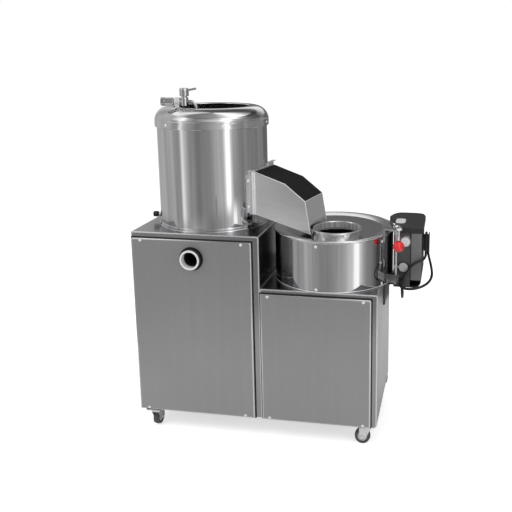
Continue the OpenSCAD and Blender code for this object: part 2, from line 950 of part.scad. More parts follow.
module slicer_pulley() {
    color("gray") place() at_slicer() translate([0, 0, slice_pulley_z])
        web_pulley(slice_pulley_d / 2, slice_shaft_r);
}

// ---------- latch ----------

module latch_bracket() {
    color("silver") place() difference() {
        at_latch() {
            block(case_r - 10, rod_d - 13, -10, 10, rod_foot - 13, rod_foot + 13);
            for (s = [-1, 1])
                block(rod_d - 13, rod_d + 8, s > 0 ? 5 : -10, s > 0 ? 10 : -5,
                    rod_foot - 13, rod_foot + 13);
            translate([rod_d, 0, rod_foot]) y_rod(pin_r, -12, 12);
        }
        at_slicer() rod(case_r, right_top - 10, case_top);
    }
}

// Rod with an eye at each end, for the bracket's pin and the lever's pin
module swing_bolt() {
    color("silver") place() difference() {
        union() {
            at_latch() translate([rod_d, 0, 0]) {
                rod(rod_r, rod_foot + 2, cam_z - 1);
                translate([0, 0, rod_foot]) y_rod(8, -4.4, 4.4);
                rod(6.5, rod_foot + 36, rod_foot + 42);
            }
            at_lever() translate([0, 0, cam_z]) x_rod(6, -4.4, 4.4);
        }
        at_latch() translate([rod_d, 0, rod_foot]) y_rod(pin_r + run_gap, -6, 6);
        at_lever() translate([0, 0, cam_z]) x_rod(pin_r + run_gap, -8, 8);
    }
}

module latch_lever() {
    color("silver") place() at_lever() translate([0, 0, cam_z]) {
        x_rod(pin_r, -9, 9);
        for (s = [-1, 1]) {
            x_rod(cam_r, s > 0 ? 5 : -9, s > 0 ? 9 : -5);
            block(s > 0 ? 5 : -9, s > 0 ? 9 : -5, ball_y - 4, 0, -4, 4);
        }
        block(-9, 9, ball_y - 4, ball_y + 8, -4, 4);
        translate([0, ball_y, 0]) rod(3.5, ball_z - cam_z + 6, 0);
    }
}

module ball_knob() {
    color("crimson") place() at_lever() translate([0, ball_y, 0]) difference() {
        translate([0, 0, ball_z]) sphere(r = ball_r);
        rod(3.5, ball_z + 6, ball_z + ball_r + e);
    }
}

// ---------- control box ----------

// Front outline of the box with a rounded lower right corner
module box_front(in) {
    x0 = box_x + in;
    x1 = box_right - in;
    za = box_z + in;
    zb = box_top - in;
    r = box_round - in;
    translate([x0, za]) square([x1 - x0 - r, zb - za]);
    translate([x1 - r - e, za + r]) square([r + e, zb - za - r]);
    translate([x1 - r, za + r]) circle(r = r);
}

module control_box() {
    y1 = box_y + box_depth;
    color("dimgray") place() {
        difference() {
            y_extrude(box_y + front_t, y1) box_front(0);
            y_extrude(box_y + front_t - e, y1 - box_wall) box_front(box_wall);
        }
        // shelf on the low cabinet's side
        block(right_side, right_side + 4, shelf_y[0], shelf_y[1], shelf_low, box_z);
        block(right_side, box_x + 70, shelf_y[0], shelf_y[1], box_z - 4, box_z);
    }
}

// Cap over the box, reaching behind the slicer's lid
module box_hood() {
    x0 = box_x - 26;
    x1 = box_right + 5;
    y0 = box_y - 4;
    y1 = box_y + box_depth + 5;
    r = 30;
    color("black") place() {
        difference() {
            translate([0, 0, box_top]) linear_extrude(hood_t) {
                translate([x0, y0]) square([r + e, y1 - y0 - r]);
                translate([x0 + r, y0]) square([x1 - x0 - r, y1 - y0]);
                translate([x0 + r, y1 - r]) circle(r = r);
            }
            at_slicer() rod(case_r + 9, box_top - e, box_top + hood_t + e);
            block(x0 - e, box_x, y0 - e, slicer_y, box_top - e, box_top + hood_t + e);
        }
        block(box_x, x1, y0, box_y, box_top - 7, box_top);
    }
}

module button_panel() {
    color("gray") place() difference() {
        union() {
            block(box_x, panel_split, box_y, box_y + front_t, box_z + 8, box_top - 7);
            block(panel_split + 4, box_right, box_y, box_y + front_t, box_z + 27, box_top - 7);
            block(panel_split, panel_split + 4, box_y + 5, box_y + front_t, box_z + 27, box_top - 7);
        }
        for (b = [start_at, stop_at])
            translate([b[0], 0, b[1]]) y_rod(button_r + 0.4, box_y - e, box_y + front_t + e);
        translate([gland_at[0], 0, gland_at[1]]) y_rod(6, box_y - e, box_y + front_t + e);
    }
}

module push_button(at) {
    translate([at[0], 0, at[1]]) {
        y_rod(button_r, box_y - button_out, box_y + front_t - 1);
        y_rod(5, box_y + front_t - 1, stem_end);
    }
}

module start_button() {
    color("white") place() push_button(start_at);
}

module stop_button() {
    color("lightgray") place() push_button(stop_at);
}

module switch_block() {
    y0 = stem_end + button_travel + 2;
    color("beige") place() {
        block(box_x + box_wall, box_x + 60, y0, y0 + 50, box_top - 130, box_top - 12);
        translate([0, y0 + 80, box_z + 10]) x_rod(7, right_side, box_x);
    }
}

// Gland with strain relief, saddle for the lead on the box, clips under it and behind
module cord_holders() {
    color("black") place() {
        translate([gland_at[0], 0, gland_at[1]]) difference() {
            union() {
                y_rod(6, box_y, box_y + front_t + 4);
                y_rod(10, box_y - 9, box_y);
                translate([0, box_y - 37, 0]) rotate([-90, 0, 0]) cylinder(h = 28, r1 = 5.2, r2 = 7);
            }
            y_rod(cord_r, box_y - 38, box_y + front_t + 5);
        }
        translate([0, holder_y, holder_z]) intersection() {
            union() {
                x_rod(holder_r - 0.5, box_right, box_right + holder_w);
                x_rod(holder_r + 7, box_right + holder_w - 3, box_right + holder_w);
            }
            block(box_right, box_right + holder_w, -50, 50, -6, 50);
        }
        translate(under_clip) difference() {
            union() {
                y_rod(6.5, -5, 5);
                block(-3, 3, -5, 5, 5, box_z - 4 - under_clip[2]);
            }
            rotate([0, 0, 9]) y_rod(cord_r + 0.3, -10, 10);
        }
        translate(back_clip) difference() {
            union() {
                rod(6.5, 0, 10);
                block(-3, 3, sheet - clip_out, -5, 0, 10);
            }
            rod(cord_r + 0.3, -e, 11);
        }
    }
}

// ---------- mains lead ----------

function curve(p, i, t) =
    let (a = p[max(i - 1, 0)], b = p[i], c = p[i + 1], d = p[min(i + 2, len(p) - 1)])
    0.5 * (2 * b + (c - a) * t + (2 * a - 5 * b + 4 * c - d) * t * t
        + (3 * b - a - 3 * c + d) * t * t * t);
function smooth_path(p, n) = concat(
    [for (i = [0:len(p) - 2], k = [0:n - 1]) curve(p, i, k / n)], [p[len(p) - 1]]);
function unit(v) = v / norm(v);
function heading(p, i) = unit(p[min(i + 1, len(p) - 1)] - p[max(i - 1, 0)]);
// Carries the cross-section's first direction along the path without twisting it
function carried(p, i) = i == 0
    ? unit(cross(heading(p, 0), [0.2, 0.3, 1]))
    : let (u = carried(p, i - 1), h = heading(p, i)) unit(u - (u * h) * h);

module sweep(p, r, sides) {
    n = len(p);
    pts = [for (i = [0:n - 1])
        let (h = heading(p, i), u = carried(p, i), v = cross(h, u))
        for (k = [0:sides - 1]) p[i] + r * (cos(360 * k / sides) * u + sin(360 * k / sides) * v)];
    walls = [for (i = [0:n - 2], k = [0:sides - 1])
        let (m = (k + 1) % sides)
        each [[i * sides + k, (i + 1) * sides + k, (i + 1) * sides + m],
            [i * sides + k, (i + 1) * sides + m, i * sides + m]]];
    ends = [[for (k = [0:sides - 1]) k], [for (k = [sides - 1:-1:0]) (n - 1) * sides + k]];
    polyhedron(points = pts, faces = concat(walls, ends), convexity = 10);
}

module power_cord() {
    color("black") place() {
        sweep(cord_rings, cord_r, 10);
        sweep(lead_path, cord_r, 10);
    }
}

// Straight runs take no extra rings
cord_rings = [for (i = [0:len(cord_path) - 2], k = [0:1])
    if (k == 0 || norm(cord_path[i + 1] - cord_path[i]) > 26) curve(cord_path, i, k / 2)];

module cord_coil() {
    color("black") place() translate([coil_at[0], coil_at[1], 0])
        ring(coil_outer + cord_r, coil_inner - cord_r, 0, 2 * cord_r);
}

// Moulded plug lying on the floor, cord side to the right
module power_plug() {
    color("black") place() translate([plug_x, lead_y, plug_z]) {
        difference() {
            union() {
                translate([-48, -17, -15]) cube([36, 34, 30]);
                translate([-12, 0, 0]) rotate([0, 90, 0]) cylinder(h = 30, r1 = 12, r2 = 5.5);
            }
            x_rod(cord_r, 6, 20);
        }
        for (y = [-9.5, 9.5]) translate([0, y, 0]) x_rod(2.4, -67, -48);
    }
}

left_cabinet();
left_front_cover();
right_cabinet();
right_front_cover();
rear_covers();
cover_screws();
base_frame();
caster_plates();
caster_fork(0);  // caster_fork_1
caster_fork(1);  // caster_fork_2
caster_fork(2);  // caster_fork_3
caster_fork(3);  // caster_fork_4
caster_wheel(0);  // caster_wheel_1
caster_wheel(1);  // caster_wheel_2
caster_wheel(2);  // caster_wheel_3
caster_wheel(3);  // caster_wheel_4
drum_base_ring();
drum_shell();
drum_liner();
drum_hood();
liner_bolts();
clamp_knob();
drain_pan();
drain_pipe();
peeling_disc();
disc_cap_nut();
peeler_shaft();
peeler_pulley();
bearing_housings();
shaft_bearings();
drive_belts();
drive_motor();
motor_pulley();
outlet_frame();
discharge_gate();
discharge_chute();
tap_body();
tap_lever();
tap_bracket();
slicer_casing();
casing_cover();
slicer_lid();
slicing_disc();
slicer_blades();
slicer_shaft();
slicer_pulley();
latch_bracket();
swing_bolt();
latch_lever();
ball_knob();
control_box();
box_hood();
button_panel();
start_button();
stop_button();
switch_block();
cord_holders();
power_cord();
cord_coil();
power_plug();
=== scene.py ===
import math
import bpy
import bmesh
from mathutils import Matrix, Vector


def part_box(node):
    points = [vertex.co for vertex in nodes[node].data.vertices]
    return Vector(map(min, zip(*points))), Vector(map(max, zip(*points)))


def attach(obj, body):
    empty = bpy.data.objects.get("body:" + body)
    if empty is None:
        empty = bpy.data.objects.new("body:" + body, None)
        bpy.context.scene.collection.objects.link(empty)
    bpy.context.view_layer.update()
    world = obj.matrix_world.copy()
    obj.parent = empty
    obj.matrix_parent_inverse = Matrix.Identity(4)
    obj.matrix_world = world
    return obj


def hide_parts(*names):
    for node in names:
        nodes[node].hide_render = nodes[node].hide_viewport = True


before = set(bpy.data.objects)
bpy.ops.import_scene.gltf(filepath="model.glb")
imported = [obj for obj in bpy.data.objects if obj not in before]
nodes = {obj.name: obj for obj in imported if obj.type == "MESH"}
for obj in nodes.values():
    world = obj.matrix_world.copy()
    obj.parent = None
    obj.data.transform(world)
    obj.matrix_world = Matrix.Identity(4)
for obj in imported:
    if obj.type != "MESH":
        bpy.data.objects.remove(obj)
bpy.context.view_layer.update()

# ---------------------------------------------------------------- places, in mm from the machine's corner
MID_X, MID_Y = 457.5, 214.0
DRUM, DRUM_R = (210.0, 195.0), 175.0
SLICER, CASE_R, CASE_TOP = (610.0, 198.0), 190.0, 650.0
RING_SHIFT, RING_R = Vector((23.0, -95.0)), 76.6
RING = (SLICER[0] + RING_SHIFT.x, SLICER[1] + RING_SHIFT.y)
LEFT_W, LEFT_TOP = 409.0, 661.0
RIGHT_SIDE, RIGHT_TOP = 772.6, 497.0
BACK, FOOT = 390.0, 69.0
HOOD_R, HOOD_Z = 181.0, 979.0
BOX_X, BOX_Y, BOX_Z, BOX_TOP, BOX_RIGHT = 806.0, 150.0, 475.0, 655.0, 893.0
BUTTONS = {"start": (842, 628), "stop": (837, 545)}
GLAND_X, GLAND_Z = BOX_X + 26, BOX_Z + 23
CHUTE_TURN, CHUTE_SHIFT, HALF = -10.4, 8.5, 71.5
GATE_LOW, GATE_TOP, STRIP_R = 707.0, 844.0, 177.0
LATCH_R, LATCH_TURN, LEVER_TURN, CAM_Z = 225.0, -23.0, 20.0, 684.3
BALL_R = 17.4

FRONT = (0, -1, 0)
MM = Matrix.Scale(0.001, 4)


def P(x, y, z):
    """A point in mm from the machine's corner, as a point of the row frame in metres."""
    return Vector(((x - MID_X) / 1000, (y - MID_Y) / 1000, z / 1000))


def shift(x, y, z):
    return Matrix.Translation((x, y, z))


def rot(degrees, axis):
    return Matrix.Rotation(math.radians(degrees), 4, axis)


def at(x, y, z, direction=(0, 0, 1), turn=0.0):
    """Matrix whose Z runs along direction from a point given in mm. Its own lengths are in mm."""
    aim = Vector(direction).normalized().to_track_quat("Z", "Y").to_matrix().to_4x4()
    return shift(*P(x, y, z)) @ aim @ rot(turn, "Z") @ MM


def upright(x, y, z, turn=0.0):
    """Like at(), with Z up and X turned by an angle about it."""
    return shift(*P(x, y, z)) @ rot(turn, "Z") @ MM


CORNER = upright(0, 0, 0)


def facing(place):
    """Matrix in mm about a place in metres, with Y up and Z to the front."""
    return shift(*place) @ MM @ rot(90, "X")


def spoke(r, degrees):
    return r * math.cos(math.radians(degrees)), r * math.sin(math.radians(degrees))


def outward(centre, r, z, degrees, turn=0.0):
    """Like at(), on a round wall about an upright axis, with Z away from the axis."""
    x, y = spoke(1, degrees)
    return at(centre[0] + r * x, centre[1] + r * y, z, (x, y, 0), turn)


# ---------------------------------------------------------------- camera
camera_data = bpy.data.cameras.new("camera")
camera = bpy.data.objects.new("camera", camera_data)
bpy.context.scene.collection.objects.link(camera)
bpy.context.scene.camera = camera
camera.location = (0.5217, -2.0936, 1.2092)
camera.rotation_euler = (math.radians(90 - 10.72), 0.0, math.radians(9.34))
camera_data.sensor_width = 36.0
camera_data.lens = 47.3
camera_data.shift_x = -0.17
camera_data.shift_y = -0.15
camera_data.clip_start = 0.05
camera_data.clip_end = 60.0


# ---------------------------------------------------------------- materials
def rgba(value):
    """Four numbers from a grey or a colour."""
    return (value, value, value, 1.0) if isinstance(value, (int, float)) else (*value, 1.0)


def shade(color, factor):
    return tuple(min(1.0, c * factor) for c in color)


class Nodes:
    """Adds and joins the nodes of one tree by short calls."""

    def __init__(self, tree):
        self.t = tree
        self.coords = None

    def feed(self, socket, value):
        """Joins a socket to an output, or sets it."""
        if hasattr(value, "links"):
            self.t.links.new(value, socket)
        else:
            socket.default_value = value

    def node(self, kind, *inputs, **values):
        """Inputs go to the sockets in their order, values to the sockets or settings that they name."""
        n = self.t.nodes.new("ShaderNode" + kind)
        for key, value in values.items():
            socket = key.replace("_", " ")
            if socket in n.inputs:
                self.feed(n.inputs[socket], value)
            else:
                setattr(n, key, value)
        for socket, value in zip(n.inputs, inputs):
            self.feed(socket, value)
        return n

    def calc(self, operation, *values):
        return self.node("Math", *values, operation=operation).outputs[0]

    def place(self, scale=(1, 1, 1), offset=(0, 0, 0)):
        """Object coordinates in metres, scaled and moved."""
        if self.coords is None:
            self.coords = self.node("TexCoord").outputs["Object"]
        return self.node("Mapping", Vector=self.coords, Scale=scale, Location=offset).outputs["Vector"]

    def polar(self, centre):
        """Place about an upright axis, its X, Y and Z, and its angle in radians."""
        x, y, _ = P(*centre, 0)
        moved = self.place(offset=(-x, -y, 0))
        parts = self.node("SeparateXYZ", moved).outputs
        return moved, parts, self.calc("ARCTAN2", parts["Y"], parts["X"])

    def around(self, centre, scale):
        """Coordinates round an upright axis, scaled: arc length at 0.18 m from it, radius and height in metres."""
        moved, parts, angle = self.polar(centre)
        flat = self.node("VectorMath", moved, (1, 1, 0), operation="MULTIPLY")
        radius = self.node("VectorMath", flat.outputs[0], operation="LENGTH").outputs["Value"]
        values = zip((angle, radius, parts["Z"]), (0.18 * scale[0], scale[1], scale[2]))
        return self.node("CombineXYZ", *[self.calc("MULTIPLY", *pair) for pair in values]).outputs[0]

    def noise(self, vector, scale, detail=3.0, rough=0.55):
        return self.node("TexNoise", Vector=vector, Scale=scale, Detail=detail, Roughness=rough).outputs["Fac"]

    def stops(self, value, stops):
        """Value mapped through (position, tone) stops."""
        n = self.node("ValToRGB", value)
        elements = n.color_ramp.elements
        elements.remove(elements[-1])
        for i, (position, tone) in enumerate(stops):
            e = elements.new(position) if i else elements[0]
            e.position = position
            e.color = rgba(tone)
        return n.outputs["Color"]

    def ramp(self, value, low, high, a=0.3, b=0.7):
        """Value from a to b mapped onto low to high, greys or colours."""
        return self.stops(value, [(a, low), (b, high)])

    def mix(self, factor, a, b):
        n = self.node("Mix", factor, data_type="RGBA")
        for socket, value in zip(n.inputs[6:8], (a, b)):
            self.feed(socket, value if hasattr(value, "links") else rgba(value))
        return n.outputs[2]


class Mat(Nodes):
    """A Principled material."""

    def __init__(self, name, color, rough, metallic=0.0, **constants):
        self.m = bpy.data.materials.new(name)
        self.m.use_nodes = True
        super().__init__(self.m.node_tree)
        self.inputs = self.t.nodes["Principled BSDF"].inputs
        constants.update(Base_Color=rgba(color), Roughness=rough, Metallic=metallic)
        for key, value in constants.items():
            self.inputs[key.replace("_", " ")].default_value = value
        self.where = self.place()

    def worn_edges(self):
        """Factor that grows on worn outer edges, from how a bevel would turn the normal."""
        bevel = self.node("Bevel", samples=4, Radius=0.0012)
        normal = self.node("NewGeometry").outputs["Normal"]
        dot = self.node("VectorMath", bevel.outputs[0], normal, operation="DOT_PRODUCT")
        return self.ramp(dot.outputs["Value"], 0.8, 0.0, 0.80, 0.995)

    def finish(self, color, rough, *bumps):
        """Joins colour, roughness and (height, distance, strength) bumps to the shader."""
        self.feed(self.inputs["Base Color"], color)
        self.feed(self.inputs["Roughness"], rough)
        normal = None
        for height, distance, strength in bumps:
            n = self.node("Bump", Height=height, Distance=distance, Strength=strength)
            if normal:
                self.feed(n.inputs["Normal"], normal)
            normal = n.outputs["Normal"]
        self.feed(self.inputs["Normal"], normal)
        return self.m


def steel(name, tone, rough, grain="z", streak=0.03, bump=0.000006, centre=None, smudge=0.25, metallic=1.0,
          blue=0.01, painted_shade_below=None):
    """Stainless steel: fine grain along one direction or round a centre, cloudy smudges, faint hairlines.

    The last argument, a height in mm, blackens all that lies under it: painted shade.
    """
    color = (tone, tone, tone + blue)
    m = Mat(name, color, rough, metallic)
    if centre:
        fine, wide = m.around(centre, (900, 40, 5)), m.around(centre, (60, 8, 1.5))
    else:
        fine, wide = (m.place([along if axis == grain else across for axis in "xyz"])
                      for across, along in ((900, 6), (90, 1.5)))
    hair = m.noise(fine, 1.0, 2.0)
    band = m.noise(wide, 1.0, 3.0)
    cloud = m.noise(m.where, 5.0, 5.0, 0.6)
    tones = m.ramp(band, shade(color, 1 - streak), shade(color, 1 + streak), 0.35, 0.65)
    # painted shade: under the given height the steel's colour goes to black
    if painted_shade_below:
        edge = painted_shade_below / 1000
        height = m.node("SeparateXYZ", m.where).outputs["Z"]
        tones = m.mix(m.ramp(height, 1.0, 0.0, edge - 0.001, edge), tones, 0.03)
    clouds = m.ramp(cloud, rough * (1 - 0.4 * smudge), rough * (1 + smudge), 0.4, 0.7)
    hairs = m.ramp(hair, rough * 0.88, rough * 1.12)
    return m.finish(tones, m.mix(0.5, clouds, hairs), (hair, bump, 0.3))


def plastic(name, color, rough, grain=900.0, bump=0.00005, tint=0.15, coat=0.0, gloss=0.5):
    """Moulded plastic or rubber with a fine texture and slightly uneven gloss."""
    m = Mat(name, color, rough, Coat_Weight=coat, Specular_IOR_Level=gloss)
    pits = m.noise(m.where, grain, 2.0)
    cloud = m.noise(m.where, 14.0, 4.0, 0.6)
    return m.finish(m.ramp(cloud, shade(color, 1 - tint), shade(color, 1 + tint), 0.35, 0.7),
                    m.ramp(cloud, max(0.05, rough - 0.08), min(1.0, rough + 0.10), 0.3, 0.75), (pits, bump, 0.5))


def paint(name, color, rough, chip=(0.35, 0.35, 0.36)):
    """Sprayed paint with orange peel and slightly lighter worn edges."""
    m = Mat(name, color, rough, Coat_Weight=0.15, Coat_Roughness=0.3)
    peel = m.noise(m.where, 420.0, 1.0)
    cloud = m.noise(m.where, 9.0, 4.0, 0.6)
    base = m.ramp(cloud, shade(color, 0.88), shade(color, 1.12), 0.35, 0.7)
    return m.finish(m.mix(m.worn_edges(), base, chip),
                    m.ramp(cloud, rough - 0.06, rough + 0.1, 0.3, 0.75), (peel, 0.00008, 0.5))


def grit(name, dark, light, size):
    """Bonded abrasive: sharp grains, darker pits, dull shine."""
    m = Mat(name, dark, 0.85)
    cells = m.node("TexVoronoi", Vector=m.where, Scale=1 / size).outputs["Distance"]
    fine = m.noise(m.where, 2.5 / size, 3.0, 0.7)
    cloud = m.noise(m.where, 12.0, 4.0)
    grains = m.ramp(fine, dark, light, 0.4, 0.62)
    return m.finish(m.mix(m.ramp(cloud, 0.0, 0.6, 0.4, 0.7), grains, shade(dark, 0.55)),
                    m.ramp(fine, 0.6, 0.95), (cells, size * 0.8, 0.9), (fine, size * 0.5, 0.8))


drum_steel = steel("drum_steel", 0.62, 0.05, centre=DRUM, streak=0.13)
case_steel = steel("case_steel", 0.62, 0.05, centre=SLICER, streak=0.13)
hood_steel = steel("hood_steel", 0.66, 0.075, streak=0.015, bump=0.000001)
# painted shade: the lid's steel under 649 mm, down inside the casing, is black
lid_steel = steel("lid_steel", 0.60, 0.17, "x", painted_shade_below=649)
rim_steel = steel("rim_steel", 0.80, 0.16, streak=0.02, bump=0.000001)
# the cover trays' folds, lighter than the cover steel: painted highlight
fold_highlight_steel = steel("fold_highlight_steel", 0.70, 0.16, streak=0.02, bump=0.000001)
cover_steel = steel("cover_steel", 0.35, 0.42, streak=0.012, metallic=0.75, blue=0.005)
side_steel = steel("side_steel", 0.34, 0.24, streak=0.02, bump=0.000002)
chute_steel = steel("chute_steel", 0.80, 0.16, "x", streak=0.02)
frame_steel = steel("frame_steel", 0.88, 0.36)
sleeve_steel = steel("sleeve_steel", 0.60, 0.34, centre=RING, streak=0.35, metallic=0.55)
# lighter than the cabinets' steel on their hems, a painted highlight; also the frame strips' steel
hem_and_highlight_steel = steel("hem_and_highlight_steel", 0.70, 0.20, streak=0.02, bump=0.000001, metallic=0.75)
edge_steel = steel("edge_steel", 0.80, 0.22, streak=0.02, bump=0.000001, metallic=0.5)
inner_steel = steel("inner_steel", 0.40, 0.38)
bright_steel = steel("bright_steel", 0.70, 0.16)
screw_steel = steel("screw_steel", 0.88, 0.22, metallic=0.3)
turned_steel = steel("turned_steel", 0.60, 0.26)
chrome = steel("chrome", 0.60, 0.06, bump=0.0000002, smudge=0.1)
cast_iron = steel("cast_iron", 0.30, 0.48, "x", streak=0.12, bump=0.0001)
black_plastic = plastic("black_plastic", (0.012, 0.012, 0.013), 0.42)
hood_plastic = plastic("hood_plastic", (0.016, 0.016, 0.017), 0.38, grain=700.0)
white_plastic = plastic("white_plastic", (0.80, 0.80, 0.79), 0.25, bump=0.00001, tint=0.02, coat=0.3)
start_plastic = plastic("start_plastic", (0.78, 0.78, 0.78), 0.25, bump=0.00001, tint=0.02, coat=0.4)
stop_plastic = plastic("stop_plastic", (0.50, 0.50, 0.50), 0.28, bump=0.00001, tint=0.03, coat=0.4)
red_plastic = plastic("red_plastic", (0.74, 0.018, 0.022), 0.20, grain=300.0, bump=0.00001, tint=0.06, coat=0.5)
block_plastic = plastic("block_plastic", (0.62, 0.60, 0.54), 0.45, tint=0.05)
box_paint = paint("box_paint", (0.035, 0.035, 0.037), 0.42, chip=(0.16, 0.16, 0.17))
panel_paint = paint("panel_paint", (0.06, 0.06, 0.062), 0.38, chip=(0.22, 0.22, 0.23))
strip_paint = paint("strip_paint", (0.165, 0.165, 0.168), 0.36, chip=0.3)
frame_paint = paint("frame_paint", (0.10, 0.105, 0.11), 0.5)
motor_paint = paint("motor_paint", (0.05, 0.085, 0.12), 0.4)
cord_rubber = plastic("cord_rubber", (0.010, 0.010, 0.011), 0.48, grain=1500.0, tint=0.1)
tie_rubber = plastic("tie_strap", (0.02, 0.02, 0.021), 0.8, grain=1200.0, bump=0.0001)
# black of the sheet on the chute's top: painted shade
painted_shade_black = plastic("painted_shade_black", (0.018, 0.018, 0.019), 0.85, grain=500.0, tint=0.1, gloss=0.05)
belt_rubber = plastic("belt_rubber", (0.014, 0.014, 0.014), 0.72, grain=600.0)
wheel_rubber = plastic("wheel_rubber", (0.075, 0.075, 0.078), 0.45, grain=500.0, tint=0.2)
hub_plastic = plastic("hub_plastic", (0.62, 0.62, 0.62), 0.35, tint=0.08)
lining_grit = grit("lining_grit", (0.030, 0.029, 0.028), (0.11, 0.105, 0.10), 0.0022)
disc_grit = grit("disc_grit", (0.035, 0.034, 0.033), (0.15, 0.145, 0.14), 0.003)


# ---------------------------------------------------------------- mesh building
def arc(cx, cy, r, a0, a1, steps):
    """Points of an arc about a centre, with both of its ends."""
    spokes = (spoke(r, a0 + (a1 - a0) * i / steps) for i in range(steps + 1))
    return [(cx + x, cy + y) for x, y in spokes]


def disc(x, y, r, steps=64, turn=0.0):
    """Outline of a circle or a polygon."""
    return arc(x, y, r, turn, turn + 360, steps)[:-1]


def hexagon(across, turn=0.0):
    return disc(0, 0, across / math.sqrt(3), 6, turn)


def rounded_rect(w, h, r, steps=5):
    """Outline of a rectangle about the origin with round corners."""
    out = []
    for k, (sx, sy) in enumerate(((1, 1), (-1, 1), (-1, -1), (1, -1))):
        out += arc(sx * (w / 2 - r), sy * (h / 2 - r), r, 90 * k, 90 * k + 90, steps)
    return out


def both_ends(profile, middle=()):
    """A profile that starts below Z 0, what lies between, and its mirror image above."""
    return [*profile, *middle, *((r, -h) for r, h in reversed(profile))]


def link_object(name, data):
    obj = bpy.data.objects.new(name, data)
    bpy.context.scene.collection.objects.link(obj)
    return obj


def round_edges(obj, width, segments, angle, harden):
    bevel = obj.modifiers.new("bevel", "BEVEL")
    bevel.width = width / 1000
    bevel.segments = segments
    bevel.limit_method = "ANGLE"
    bevel.angle_limit = math.radians(angle)
    bevel.harden_normals = harden


class Build:
    """Collects shapes in one mesh. Lengths are in mm of the matrix given to each call."""

    def __init__(self):
        self.bm = bmesh.new()
        self.material = 0

    def vert(self, m, point):
        return self.bm.verts.new(m @ Vector(point))

    def face(self, verts):
        """Adds a face, unless it is there already or has less than three corners."""
        verts = list(dict.fromkeys(verts))
        if len(verts) > 2 and not self.bm.faces.get(verts):
            self.bm.faces.new(verts).material_index = self.material

    def lathe(self, profile, m, steps=64, start=0.0, end=360.0):
        """Turns a closed outline of (radius, height) points about Z."""
        full = end - start > 359.9
        poles = [self.vert(m, (0, 0, h)) if full and r < 1e-6 else None for r, h in profile]
        rows = [[pole or self.vert(m, (*spoke(r, start + (end - start) * i / steps), h))
                 for pole, (r, h) in zip(poles, profile)] for i in range(steps + (not full))]
        for a, b in zip(rows, rows[1:] + rows[:full]):
            for j in range(len(profile)):
                k = (j + 1) % len(profile)
                self.face([a[j], b[j], b[k], a[k]])
        if not full:
            self.face(rows[0])
            self.face(rows[-1][::-1])

    def prism(self, outline, z0, z1, m):
        """Extrudes an (x, y) outline from z0 to z1."""
        low, high = ([self.vert(m, (x, y, z)) for x, y in outline] for z in (z0, z1))
        for i in range(len(outline)):
            self.face([low[i - 1], low[i], high[i], high[i - 1]])
        self.face(low[::-1])
        self.face(high)

    def plate(self, outline, holes, z0, z1, m):
        """Flat sheet from z0 to z1 with an (x, y) outline, and holes given as outlines too."""
        levels = []
        for z in (z0, z1):
            loops = [[self.vert(m, (x, y, z)) for x, y in ring] for ring in [outline] + holes]
            edges = [self.bm.edges.new((loop[i - 1], loop[i])) for loop in loops for i in range(len(loop))]
            filled = bmesh.ops.triangle_fill(self.bm, edges=edges, use_beauty=True, use_dissolve=False)
            for item in filled["geom"]:
                if isinstance(item, bmesh.types.BMFace):
                    item.material_index = self.material
            levels.append(loops)
        for low, high in zip(*levels):
            for i in range(len(low)):
                self.face([low[i - 1], low[i], high[i], high[i - 1]])

    def loft(self, rings, m):
        """Skin over closed rings of (x, y, z) points, back to the first ring."""
        rows = [[self.vert(m, p) for p in ring] for ring in rings]
        for i, row in enumerate(rows):
            for k in range(len(row)):
                self.face([rows[i - 1][k - 1], rows[i - 1][k], row[k], row[k - 1]])

    def tube(self, points, radius, m, sides=16):
        """Round bar along points, its radius a number or one per point."""
        pts = [Vector(p) for p in points]
        radii = radius if isinstance(radius, list) else [radius] * len(pts)
        heads = [(b - a).normalized() for a, b in zip(pts[:1] + pts, pts[1:] + pts[-1:])]
        side = heads[0].orthogonal().normalized()
        rows = []
        for p, h, r in zip(pts, heads, radii):
            side = (side - side.dot(h) * h).normalized()
            up = h.cross(side)
            rows.append([self.vert(m, p + x * side + y * up) for x, y in disc(0, 0, r, sides)])
        for a, b in zip(rows, rows[1:]):
            for k in range(sides):
                q = (k + 1) % sides
                self.face([a[k], a[q], b[q], b[k]])
        self.face(rows[0][::-1])
        self.face(rows[-1])

    def pan_head(self, m, r=4.5):
        """Low round screw head, its seat at Z 0."""
        self.lathe([(0, 0.05), (r, 0.05), (r, 0.9)] + arc(0, -r * 0.55, r * 1.14, 62, 90, 4)[1:-1]
                   + [(r * 0.36, r * 0.565), (0, r * 0.565)], m, 20)

    def done(self, name, materials, body="machine", bevel=0.0, segments=2, replaces=None):
        bmesh.ops.recalc_face_normals(self.bm, faces=self.bm.faces)
        mesh = bpy.data.meshes.new(name)
        self.bm.to_mesh(mesh)
        self.bm.free()
        for m in materials if isinstance(materials, list) else [materials]:
            mesh.materials.append(m)
        mesh.shade_smooth()
        mesh.set_sharp_from_angle(angle=math.radians(32))
        obj = link_object(name, mesh)
        if bevel:
            round_edges(obj, bevel, segments, 32, False)
        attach(obj, body)
        if replaces:
            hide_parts(replaces)
        return obj


